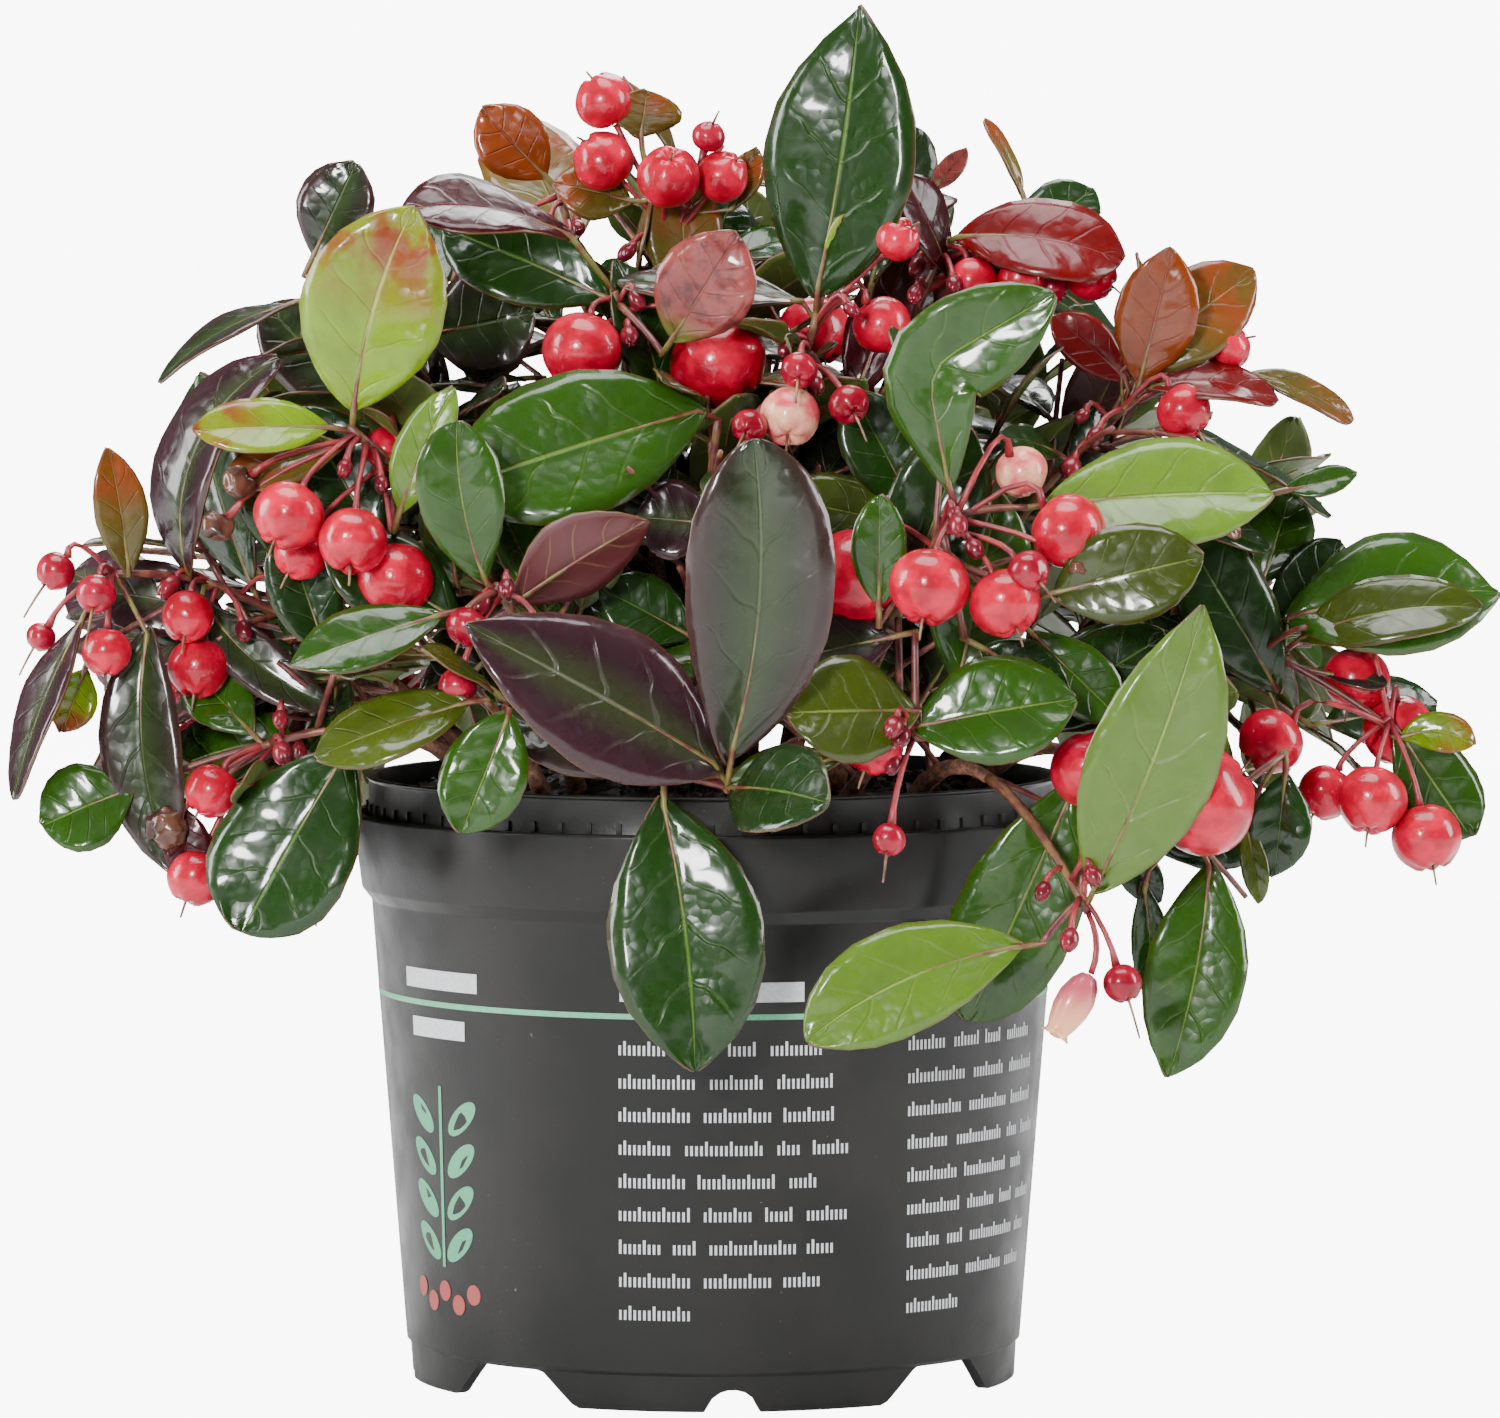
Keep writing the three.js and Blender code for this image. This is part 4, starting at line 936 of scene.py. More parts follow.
def hides(leaf):
    """True where a leaf would stand between the camera and a posed leaf or berry."""
    points, faces = outline(leaf)
    for point in points:
        start = Vector(point)
        if posed_tree.ray_cast(start, start - CAMERA_AT / MM)[0] is not None:
            return True
    seen = seen_at(points)
    near = ((spots_seen > seen.min(0)) & (spots_seen < seen.max(0))).all(1)
    tree_of_leaf = BVHTree.FromPolygons(points.tolist(), faces)
    for spot in spots[near]:
        start = Vector(spot)
        to_camera = (CAMERA_AT / MM - start).normalized()
        if tree_of_leaf.ray_cast(start + to_camera * 0.5, to_camera)[0] is not None:
            return True
    return False


# %% Whether a leaf may grow
LOWEST = POT_H + 4
BACK_FROM = 40


def before_pot(leaf):
    """True where a leaf would hang before the pot or lie on the soil."""
    x, y, z = outline(leaf)[0].T
    return ((z < LOWEST) & (np.abs(x) < POT_TOP_R) & (y < BACK_FROM)).any()


def fits(leaf):
    """True where a leaf of the rule may grow."""
    return not in_sky(leaf) and not before_pot(leaf) and not hides(leaf) and is_clear(leaf)


# %% The rule
def seeded(seed):
    """The same numbers in the same order each time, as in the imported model."""
    state = seed
    while True:
        state = state * 48271 % 2147483647
        yield state / 2147483647


def rule_leaf(curve, share, turn, numbers, tint):
    """A leaf down the twig, turned round it, the lower ones spread wider."""
    at = TOP_LEAF_AT - RULE_SPAN * share
    axis = along_curve(curve, at)
    right = unit(np.cross(axis, (0.3, 1, 0.2)))
    front = np.cross(axis, right)
    spread_by = math.radians(SPREAD[0] + SPREAD[1] * share + SPREAD[2] * next(numbers))
    out = right * math.cos(turn) + front * math.sin(turn)
    along = axis * math.cos(spread_by) + out * math.sin(spread_by)
    length = LEAF_L[0] + (LEAF_L[1] - LEAF_L[0]) * next(numbers)
    width = length * (WIDE + WIDER * next(numbers))
    face = axis + 0.7 * UP
    return new_leaf(on_curve(curve, at), along, face, length, width, 10 + 25 * next(numbers), 0, tint)


# %% Stems and arms
TUBE = tube_template(8, 10)
TWIG = tube_template(6, 5)
stems, twigs, leaves, berries = [], [], [], []


def add_twig(curve, radii=TWIG_R):
    """Keep a thin twig along a curve."""
    twigs.append(tube(TWIG, curve, (0, 1), radii))


for shoot in SHOOTS:
    curve = stem_curve(shoot)
    shoot["curve"] = curve
    shoot["tip"] = curve[2]
    stems.append(tube(TUBE, curve, (0, STEM_SHARE), STEM_R))
    twigs.append(tube(TUBE, curve, (STEM_SHARE, 1), SPRAY_R))
    for arm in arms_of(shoot):
        up = arm["to"][2]
        arm["tip"] = shoot["tip"] + at_point(*arm["to"])
        low = 1 + up * 0.9 / (shoot["tip"][2] - SOIL_MID_Z + 20)
        hangs = up < HANGS and shoot["tip"][2] > HIGH
        start = on_curve(curve, min(1, max(STEM_SHARE + 0.1, low)) if hangs else ARM_AT)
        add_twig(arched(start, arm["tip"]))
tube_faces = [tuple(face.vertices) for face in TUBE.polygons]
stem_trees = [BVHTree.FromPolygons(points.tolist(), tube_faces) for points in stems]
print("stems:", len(stems), "arms:", len(twigs) - len(stems))

# %% Posed leaves
ROUND_L, ROUND_W, ROUND_SHAPE = 48, 20, (0.85, 0.98)  # the largest leaves are evenly oval


def posed_leaf(base, row):
    """A leaf from its row of the table."""
    *pose, tint = row
    clock, front, length, width, turn, lift, curl, bend, right, up = (pose + [0, 0])[:10]
    shape = ROUND_SHAPE if length > ROUND_L and width > ROUND_W and abs(bend) < 15 else None
    offset = (right, 0, up)
    return new_leaf(base, aim(clock, front), look(turn, lift), length, width, curl, bend, tint, offset, shape)


def add_leaf(shoot, leaf):
    """Keep a leaf for its shoot."""
    leaf["shoot"] = shoot["name"]
    leaves.append(leaf)
    keep(leaf)


for shoot in SHOOTS:
    for index, row in enumerate(shoot.get("leaves", [])):
        add_leaf(shoot, posed_leaf(on_curve(shoot["curve"], LEAVES_AT - LEAF_STEP * index), row))
    for arm in arms_of(shoot):
        for row in arm["leaves"]:
            add_leaf(shoot, posed_leaf(arm["tip"], row))
for name, share, to, row in EXTRA_LEAVES:
    shoot = shoot_named(name)
    tip = shoot["tip"] + at_point(*to)
    add_twig(arched(on_curve(shoot["curve"], share), tip))
    add_leaf(shoot, posed_leaf(tip, row))
posed = len(leaves)
print("posed leaves kept:", posed)

# %% Where the posed leaves lie
ROWS, COLUMNS = 14, 7
posed_points, posed_faces = [], []
for leaf in leaves:
    points, faces = outline(leaf)
    posed_faces += [tuple(corner + len(posed_points) for corner in face) for face in faces]
    posed_points += points.tolist()
    s = np.repeat(np.linspace(0.06, 0.96, ROWS), COLUMNS)
    aside = np.tile(np.linspace(-0.85, 0.85, COLUMNS), ROWS)
    half = leaf["width"] / 2 * leaf_half(leaf, s)
    sight_lines.extend(midrib(leaf, s) + headings(leaf, s)[1] * (aside * half)[:, None])
posed_tree = BVHTree.FromPolygons(posed_points, posed_faces)

# %% [markdown]
# Every berry hangs on its own stalk, which leaves the twig, bends over and widens into the berry. A few have
# shrunk and dried, and buds that came to nothing still sit at the twigs' ends.

# %% Hanging a berry
STANDS = 8  # a berry higher than this above its twig stands on its stalk, and the others hang
ELBOW = 0.4
NECK = 0.85
BERRY_STALK_R = (0.42, 0.55)
stalks = []


def hang(start, middle, diameter, kind=None):
    """A berry on a stalk that leaves the twig, bends and widens into it."""
    r = diameter / 2
    elbow = middle + ELBOW * (start - middle)
    if middle[2] - start[2] < STANDS:
        elbow[2] = max(middle[2] + r + 1, (start[2] + middle[2]) / 2 + 1)
    axis = unit(middle - elbow)
    berries.append({"middle": middle, "axis": axis, "r": r, "kind": kind})
    berry_spots.append((middle, r))
    neck = middle - axis * NECK * r
    handle = 2 * elbow - (start + neck) / 2
    stalks.append(tube(TWIG, (start, handle, neck), (0, 1), BERRY_STALK_R, 0.5))


# %% Posed berries
PALE = ("crest", 4)
FLOWER = ("lowright", 3)  # the flower's place in the table of fruit
for shoot in SHOOTS:
    for index, (*to, size) in enumerate(shoot.get("fruit", [])):
        start = on_curve(shoot["curve"], STALKS_AT - STALK_STEP * index)
        if (shoot["name"], index) != FLOWER:
            kind = "blush" if (shoot["name"], index) == PALE else None
            hang(start, shoot["tip"] + at_point(*to), size, kind)
    for arm in arms_of(shoot):
        for index, (*to, size) in enumerate(arm.get("fruit", [])):
            hang(arm["tip"] + 0.3 * index * UP, arm["tip"] + at_point(*to), size)
fruit_tip = shoot_named("rightfruit")["tip"]
hang(fruit_tip, fruit_tip + at_point(10.3, -10, 5.7), 8.6, "blush")

# %% Withered berries and buds
WITHERED = [("yellow", (-17.6, 2, -9), 5.2), ("yellow", (-21, 0, -16), 5), ("rightfruit", (18.6, 5, -9), 4),
            ("leftlow", (-15, 3, -13), 7)]
for name, to, size in WITHERED:
    shoot = shoot_named(name)
    hang(on_curve(shoot["curve"], 0.96), shoot["tip"] + at_point(*to), size, "withered")
BUDS = 3
bud_dice = random.Random(23)
for shoot in SHOOTS:
    for k in range(BUDS if shoot.get("fruit") else 0):
        start = on_curve(shoot["curve"], 0.965 - 0.04 * k)
        out = bud_dice.uniform(0, math.tau)
        reach = bud_dice.uniform(3, 7)
        front = 2 + reach * abs(math.sin(out))
        middle = start + at_point(reach * math.cos(out), front, bud_dice.uniform(-7, 4))
        hang(start, middle, bud_dice.uniform(2.2, 3.4), "bud")
print("berries hung:", len(berries))

# %% Points that should stay in sight
for middle, r in berry_spots:
    sight_lines.extend(middle + np.array((x, -0.6, z)) * r
                       for x, z in ((0, 0), (0.7, 0), (-0.7, 0), (0, 0.7), (0, -0.7)))
spots = np.array(sight_lines)
spots_seen = seen_at(spots)
print("points to keep in sight:", len(spots))

# %% Leaves and berries of the rule
FOREMOST = "darkpair"  # its leaf of the rule is the one that comes furthest to the front, so it stays
for index, shoot in enumerate(SHOOTS):
    numbers = seeded(7919 * (index + 1))
    tints = shoot["tints"].split()
    start = math.tau * next(numbers)
    for k in range(shoot["fill"]):
        leaf = rule_leaf(shoot["curve"], k / shoot["fill"], start + k * GOLDEN, numbers, tints[k % 3 == 2])
        if fits(leaf) or (shoot["name"] == FOREMOST and is_clear(leaf)):
            add_leaf(shoot, leaf)
    for _ in range(shoot.get("berries", 0)):
        turn = math.tau * next(numbers)
        out = 5 + 5 * next(numbers)
        size = 8 + 5 * next(numbers)
        middle = shoot["tip"] + at_point(out * math.cos(turn), out * math.sin(turn), -7 - 6 * next(numbers))
        hang(shoot["tip"], middle, size)
print("leaves of the rule:", len(leaves) - posed)


# %% Finer side twigs
SLACK = 4
SIDE_TWIGS = (16, 13)
TWIG_LEAVES = 7
TWIGS_FROM, TWIGS_SPAN = STEM_SHARE - 0.14, 0.6
SHORTEST, LONGER = (18, 13), 14
coarse_count = len(leaves)


def within(shoot, leaf):
    """True where a leaf stays in the reach of its shoot's mass of leaves."""
    low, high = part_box("leaves_" + shoot["name"])
    points = outline(leaf)[0] * MM
    return (points > np.array(low) - SLACK * MM).all() and (points < np.array(high) + SLACK * MM).all()


for index, shoot in enumerate(SHOOTS):
    dice = random.Random(101 + index)
    tints = shoot["tints"].split()
    is_front = shoot["node"][1] > 0
    count = SIDE_TWIGS[not is_front]
    for k in range(count):
        share = TWIGS_FROM + TWIGS_SPAN * k / count
        root = on_curve(shoot["curve"], share)
        axis = along_curve(shoot["curve"], share)
        right = unit(np.cross(axis, (0.3, 1, 0.2)))
        out = right * math.cos(k * GOLDEN + index) + np.cross(axis, right) * math.sin(k * GOLDEN + index)
        tip = root + (12 + 14 * dice.random()) * unit(axis + out * 1.1)
        twig_curve = arched(root, tip, 1.5)
        ahead = unit(tip - root)
        grown = 0
        for m in range(TWIG_LEAVES):
            base = on_curve(twig_curve, 1 - 0.14 * m)
            turn = m * GOLDEN + k
            side = unit(np.cross(ahead, (0.2, 0.4, 1)))
            spin = side * math.cos(turn) + np.cross(ahead, side) * math.sin(turn)
            along = unit(ahead + spin * (0.7 + 0.25 * m))
            length = SHORTEST[k % 2] + LONGER * dice.random()
            face = (0.6 + 0.4 * dice.random()) * UP + ahead - np.array((0, 0.5 if is_front else 0, 0))
            width = length * (WIDE + WIDER * dice.random())
            curl, bend = 8 + 25 * dice.random(), dice.uniform(-15, 15)
            leaf = new_leaf(base, along, face, length, width, curl, bend, tints[dice.random() < 0.35])
            if within(shoot, leaf) and fits(leaf):
                add_leaf(shoot, leaf)
                grown += 1
        if grown:
            add_twig(twig_curve, FINE_R)
print("leaves on finer twigs:", len(leaves) - coarse_count)

# %% [markdown]
# Short twigs low on the stems carry small dark leaves, so that the crown closes above the soil.

# %% Leaves low in the plant
LOW_SHARES = (0.12, 0.2, 0.28, 0.36)
LOW_LEAVES = 5
LOW_REACH = 56
fine_count = len(leaves)
low_dice = random.Random(67)
for shoot in SHOOTS:
    for share in LOW_SHARES:
        root = on_curve(shoot["curve"], share)
        out = low_dice.uniform(0, math.tau)
        tip = root + (8 + 8 * low_dice.random()) * np.array((math.cos(out), math.sin(out), 0.7))
        grown = 0
        for m in range(LOW_LEAVES):
            bearing = out + m * GOLDEN
            along = unit(np.array((math.cos(bearing), math.sin(bearing), low_dice.uniform(0.1, 1.2))))
            length = low_dice.uniform(17, 28)
            face = UP + np.array((0, -0.8, 0)) + 0.3 * along
            tint = "green" if m % 2 else "night"
            leaf = new_leaf(tip, along, face, length, length * 0.55, 15, low_dice.uniform(-15, 15), tint)
            if np.hypot(*outline(leaf)[0].T[:2]).max() < LOW_REACH and fits(leaf):
                add_leaf(shoot, leaf)
                grown += 1
        if grown:
            add_twig(arched(root, tip), FINE_R)
print("leaves low in the plant:", len(leaves) - fine_count)

# %% [markdown]
# ## Leaf finishes
# A wintergreen leaf is thick and waxy, so it is a glossy dielectric with a clear coat. The veins are sunk in
# the upper face and a little paler. They are drawn from the leaf's own UV map, where the side veins arch from
# the midrib to the margin. The cold turns whole leaves plum, wine or bronze, so each tint has a colour of its
# own, up to a quarter darker or lighter from leaf to leaf. The yellow and olive leaves are rusty towards the
# tip, and the darkest ones keep some green beside the midrib. The net of the smallest veins puckers the face,
# which breaks up the reflections. Its meshes are drawn at 2 mm, about twice their real size, so that they
# show.

# %% Leaf materials
TINTS = {
    "deep": "#122a07", "green": "#213f08", "bright": "#527020", "moss": "#343f0c", "lime": "#5e7a04",
    "olive": "#4c4214", "night": "#1a2010", "plum": "#241118", "wine": "#34040c", "scarlet": "#600a0c",
    "bronze": "#702e06", "dusty": "#883c38",
}
PALE_VEINS = {
    "deep": "#5a7c2c", "green": "#76903a", "bright": "#96ac54", "moss": "#80903f", "lime": "#b8b45c",
    "olive": "#8c8248", "night": "#505c3c", "plum": "#6c6c58",
}
RED_VEINS = "#8a3c34"
VEIN_PAIRS = 5.0
NET_MM, LUMP_MM = 2.1, 6
WAXY = {"Roughness": 0.3, "IOR": 1.46, "Specular IOR Level": 0.2, "Coat Weight": 0.42, "Coat Roughness": 0.09}
DULLER = ("wine", "scarlet")


def vein_lines(tree):
    """How near a point is to the midrib and to a side vein, and how far off the midrib it is."""
    uv = add_node(tree, "ShaderNodeSeparateXYZ", {}, {
        "Vector": add_node(tree, "ShaderNodeUVMap", {"uv_map": "UVMap"}).outputs["UV"],
    })
    off = maths(tree, "ABSOLUTE", maths(tree, "SUBTRACT", uv.outputs["X"], 0.5))
    rib = spread(tree, off, 0.004, 0.022, 1.0, 0.0)
    stray = maths(tree, "MULTIPLY", grain(tree, 4, 0), 0.06)
    slanted = maths(tree, "SUBTRACT", uv.outputs["Y"], maths(tree, "MULTIPLY", off, 0.42))
    cycle = maths(tree, "FRACT", maths(tree, "MULTIPLY", maths(tree, "ADD", slanted, stray), VEIN_PAIRS))
    side = spread(tree, maths(tree, "ABSOLUTE", maths(tree, "SUBTRACT", cycle, 0.5)), 0.0, 0.07, 1.0, 0.0)
    fading = spread(tree, off, 0.22, 0.46, 1.0, 0.0)
    return rib, maths(tree, "MULTIPLY", side, fading), off, uv.outputs["Y"]


def leaf_material(tint):
    """The upper face of a leaf of one tint."""
    made, tree, shader = new_material(f"waxy leaf {tint}", {**WAXY, "Base Color": linear(TINTS[tint])})
    if tint in DULLER:
        shader.inputs["Coat Weight"].default_value = 0.2
    rib, side, off, height = vein_lines(tree)
    own = add_node(tree, "ShaderNodeAttribute", {"attribute_name": "own"}).outputs["Fac"]
    tone = mix(tree, own, linear(TINTS[tint], 0.75), linear(TINTS[tint], 1.25))
    lumps = grain(tree, LUMP_MM, 4, 0.6)
    blotch = maths(tree, "MULTIPLY", spread(tree, lumps, 0.42, 0.7), 0.4)
    tone = mix(tree, blotch, tone, linear(TINTS[tint], 0.5))
    if tint in ("lime", "olive"):
        rusty = spread(tree, grain(tree, 7, 3, 0.55), 0.38, 0.58, 0.25, 1.0)
        towards_tip = spread(tree, height, 0.35, 0.8)
        tone = mix(tree, maths(tree, "MULTIPLY", rusty, towards_tip), tone, linear("#6e3212"))
    if tint in ("night", "plum"):
        tone = mix(tree, spread(tree, off, 0.2, 0.5, 0.0, 0.7), tone, linear("#301a1e"))
        tone = mix(tree, spread(tree, off, 0.0, 0.3, 0.5, 0.0), tone, linear("#2a3c16"))
    if tint == "dusty":
        tone = mix(tree, spread(tree, grain(tree, 2.5, 4, 0.6), 0.45, 0.7, 0.0, 0.7), tone, linear("#30141c"))
        tone = mix(tree, spread(tree, height, 0.3, 0.0), tone, linear("#4c5a20"))
    pale = linear(PALE_VEINS.get(tint, RED_VEINS))
    tone = mix(tree, maths(tree, "MULTIPLY", side, 0.07), tone, pale)
    tone = mix(tree, maths(tree, "MULTIPLY", rib, 0.42), tone, pale)
    rim = spread(tree, off, 0.47, 0.5)
    tone = mix(tree, maths(tree, "MULTIPLY", rim, 0.35), tone, linear("#52281a"))
    tree.links.new(tone, shader.inputs["Base Color"])
    tree.links.new(spread(tree, lumps, 0.3, 0.7, 0.22, 0.4), shader.inputs["Roughness"])
    cells = add_node(tree, "ShaderNodeTexVoronoi", {}, {
        "Vector": add_node(tree, "ShaderNodeTexCoord").outputs["Object"], "Scale": 1 / (NET_MM * MM),
    })
    pucker = maths(tree, "MULTIPLY", cells.outputs["Distance"], -0.45)
    pucker = maths(tree, "ADD", pucker, maths(tree, "MULTIPLY", grain(tree, 5, 2), 0.9))
    pucker = maths(tree, "ADD", pucker, maths(tree, "MULTIPLY", side, -0.55))
    relief(tree, shader, maths(tree, "ADD", pucker, maths(tree, "MULTIPLY", rib, -0.9)), 0.36, 0.85)
    return made


def under_material(name, colour):
    """The paler, duller underside of a leaf, where the veins stand up."""
    made, tree, shader = new_material(f"leaf underside {name}", {
        "Roughness": 0.45, "Base Color": linear(colour),
    })
    rib, side = vein_lines(tree)[:2]
    blotch = spread(tree, grain(tree, 5, 4, 0.6), 0.4, 0.72)
    tone = mix(tree, maths(tree, "MULTIPLY", blotch, 0.4), linear(colour), linear(colour, 0.6))
    tone = mix(tree, maths(tree, "MULTIPLY", maths(tree, "ADD", rib, side), 0.14), tone, linear("#a8985c"))
    tree.links.new(tone, shader.inputs["Base Color"])
    relief(tree, shader, maths(tree, "ADD", rib, maths(tree, "MULTIPLY", side, 0.6)), 0.12, 0.7)
    return made


under_green = under_material("green", "#4c5c24")
under_red = under_material("red", "#4c1a1c")
margin = new_material("leaf margin", {"Roughness": 0.4, "Base Color": linear("#4e3418")})[0]

# %% [markdown]
# All leaves of a tint are one piece. A Solidify modifier gives them the thickness of a real leaf, and puts
# the underside and the reddish margin in materials of their own.

# %% Leaf pieces
LEAF_MM = 0.42
REDDISH = ("plum", "wine", "scarlet", "bronze", "dusty")
leaf_dice = random.Random(5)
by_tint = {tint: [leaf for leaf in leaves if leaf["tint"] == tint] for tint in TINTS}
for tint, group in by_tint.items():
    own = np.array([leaf_dice.random() for _ in group])
    mesh = joined_copies(f"leaves {tint}", LEAF, [blade(leaf, o) for leaf, o in zip(group, own)], own)
    under = under_red if tint in REDDISH else under_green
    slot_name = "leaf_dark" if tint in ("plum", "night") else "leaf_red" if tint in REDDISH else "leaf_green"
    owners = sorted({f"leaves_{leaf['shoot']}" for leaf in group})
    piece = new_piece(f"foliage_{tint}", mesh, [leaf_material(tint), under, margin], slot_name, *owners)
    solid = piece.modifiers.new("thickness", "SOLIDIFY")
    solid.thickness = LEAF_MM * MM
    solid.offset = -1
    solid.material_offset = 1
    solid.material_offset_rim = 2

# %% [markdown]
# Each leaf sits on a short reddish stalk that runs on under the blade as the raised midrib, getting thinner
# to the tip.

# %% Leaf stalks
RIB_TUBE = tube_template(5, 8)
RIB_SHARE = 0.8
RIB_DOWN = 0.42


def rib_tube(leaf):
    """The stalk and the raised midrib under a leaf, as one tapering tube."""
    local = points_of(RIB_TUBE)
    share = local[:, 2]
    stalk_share = PETIOLE / (PETIOLE + RIB_SHARE * leaf["length"])
    s = np.clip((share - stalk_share) / (1 - stalk_share), 0, 1) * RIB_SHARE
    ahead, across, above = headings(leaf, s)
    before = np.clip(1 - share / stalk_share, 0, 1)
    under = RIB_DOWN * np.clip(s * 6, 0, 1)
    middle = midrib(leaf, s) - ahead * (before * (PETIOLE + 0.6))[:, None] - above * under[:, None]
    middle += (leaf["twig"] - leaf["base"]) * (before ** 1.5)[:, None]
    r = np.where(share < stalk_share, 0.55, 0.5 * (1 - s) + 0.06)
    return middle + across * (local[:, 0] * r)[:, None] + above * (local[:, 1] * r)[:, None]


leaf_stalks = [rib_tube(leaf) for leaf in leaves]

# %% [markdown]
# ## Bark, twigs and stalks
# Old stems have thin brown bark, dull and finely cracked. Young twigs and stalks are smooth, shine a little,
# and are red where the light reaches them.

# %% Woody parts
bark, tree, shader = new_material("thin bark", {"Roughness": 0.65, "Base Color": linear("#5a3526")})
bark_tone = mix(tree, spread(tree, grain(tree, 1.1, 5, 0.7), 0.35, 0.7), linear("#3a221a"), linear("#8a5a3e"))
tree.links.new(bark_tone, shader.inputs["Base Color"])
relief(tree, shader, grain(tree, 0.5, 5, 0.7), 0.25, 0.9)
rough_stems = joined_copies("stems", TUBE, stems)
for vert in rough_stems.vertices:
    vert.co += 0.18 * MM * noise.noise_vector(vert.co / (1.5 * MM))
new_piece("stems_bark", rough_stems, [bark], "bark", *(f"stem_{shoot['name']}" for shoot in SHOOTS))


def young_bark(name, dark, light):
    """Smooth young bark in two tones."""
    made, tree, shader = new_material(name, {"Roughness": 0.42, "Base Color": linear(dark)})
    tone = mix(tree, spread(tree, grain(tree, 3, 3), 0.35, 0.65), linear(dark), linear(light))
    tree.links.new(tone, shader.inputs["Base Color"])
    relief(tree, shader, grain(tree, 0.5, 3), 0.1, 0.5)
    return made


thick_twigs = [points for points in twigs if len(points) == len(TUBE.vertices)]
thin_twigs = [points for points in twigs if len(points) == len(TWIG.vertices)]
YOUNG = [
    ("twigs", TUBE, thick_twigs, "twig bark", "#4a1a18", "#6a4a28", "bark"),
    ("side_twigs", TWIG, thin_twigs, "side twig bark", "#4a161a", "#6a3a2a", "bark"),
    ("leaf_stalks", RIB_TUBE, leaf_stalks, "leaf stalk", "#5e2420", "#66602c", "leaf_red"),
    ("berry_stalks", TWIG, stalks, "berry stalk", "#6a1622", "#8e2a2c", "leaf_red"),
]
for name, template, places, finish, dark, light, slot_name in YOUNG:
    new_piece(name, joined_copies(name, template, places), [young_bark(finish, dark, light)], slot_name)

# %% [markdown]
# ## Berries
# What looks like a berry is the fleshy calyx that has closed round the seed case. Its five lobes meet at the
# free end in a star-shaped dent, and the dry style still sticks out of it. The template is a ball with that
# dent and five creases, and each copy is stretched a little differently. Its skin is smooth and waxy, so it
# shines like a leaf does, and small dimples make the edges of the reflections uneven.

# %% Berry template
def berry_template():
    """A ball of radius 1 that hangs from +Z, with its star at -Z."""
    bm = bmesh.new()
    bmesh.ops.create_uvsphere(bm, u_segments=30, v_segments=18, radius=1)
    for vert in bm.verts:
        polar = math.acos(max(-1, min(1, -vert.co.z / vert.co.length)))
        bearing = math.atan2(vert.co.y, vert.co.x)
        star = abs(math.cos(2.5 * bearing)) ** 6
        dent = 0.2 * math.exp(-((polar / 0.24) ** 2)) - 0.05 * math.exp(-(((polar - 0.42) / 0.14) ** 2))
        crease = 0.09 * (1 - star) ** 8 * math.exp(-((polar / 0.8) ** 2)) + 0.012 * (1 - star) ** 6
        shoulder = 0.1 * math.exp(-(((math.pi - polar) / 0.35) ** 2))
        vert.co *= 1 - dent - crease - shoulder
        vert.co.z *= 0.95
    return mesh_of("berry template", bm)


BERRY = berry_template()
berry_dice = random.Random(7)


def carried(template, middle, axis, scale, spin):
    """Points of a template turned so that its -Z follows an axis."""
    right = unit(np.cross((1.0, 0.3, 0.0), axis))
    front = np.cross(axis, right)
    local = points_of(template) * scale
    x = local[:, 0] * math.cos(spin) - local[:, 1] * math.sin(spin)
    y = local[:, 0] * math.sin(spin) + local[:, 1] * math.cos(spin)
    return middle + np.outer(x, right) - np.outer(y, front) - np.outer(local[:, 2], axis)


# %% Berry shapes
RIPE_MM = 7.2
STYLE_R = (0.26, 0.18)
styles = []
kinds = {"ripe": [], "young": [], "blush": [], "bud": [], "withered": []}
for berry in berries:
    scale = berry["r"] * np.array([berry_dice.uniform(0.95, 1.03) for _ in range(3)])
    scale[2] *= 1.5 if berry["kind"] == "bud" else 1
    points = carried(BERRY, berry["middle"], berry["axis"], scale, math.tau * berry_dice.random())
    if berry["kind"] == "withered":
        points += 0.9 * np.array([noise.noise_vector(Vector(point) / 1.7) for point in points])
    kind = berry["kind"] or ("ripe" if 2 * berry["r"] > RIPE_MM else "young")
    kinds[kind].append(points)
    end = berry["middle"] + berry["axis"] * berry["r"] * 0.75
    long = 1.4 + 0.25 * berry["r"] if kind == "ripe" else 3.5 + 2.5 * berry_dice.random()
    if kind not in ("bud", "withered"):
        droop = end + berry["axis"] * 0.5 * long - UP * 0.3
        style = (end, droop, droop + (berry["axis"] - 0.4 * UP) * 0.5 * long)
        styles.append(tube(TWIG, style, (0, 1), STYLE_R))


# %% Berry pieces
def berry_skin(name, deep, light):
    """Smooth waxy skin that is a little uneven in colour."""
    made, tree, shader = new_material(name, {
        "Base Color": linear(deep), "Roughness": 0.3, "IOR": 1.45, "Specular IOR Level": 0.2,
        "Coat Weight": 0.4, "Coat Roughness": 0.1,
    })
    tone = mix(tree, spread(tree, grain(tree, 4, 3), 0.35, 0.68), linear(deep), linear(light))
    tree.links.new(tone, shader.inputs["Base Color"])
    relief(tree, shader, grain(tree, 1.3, 3), 0.2, 0.8)
    return made


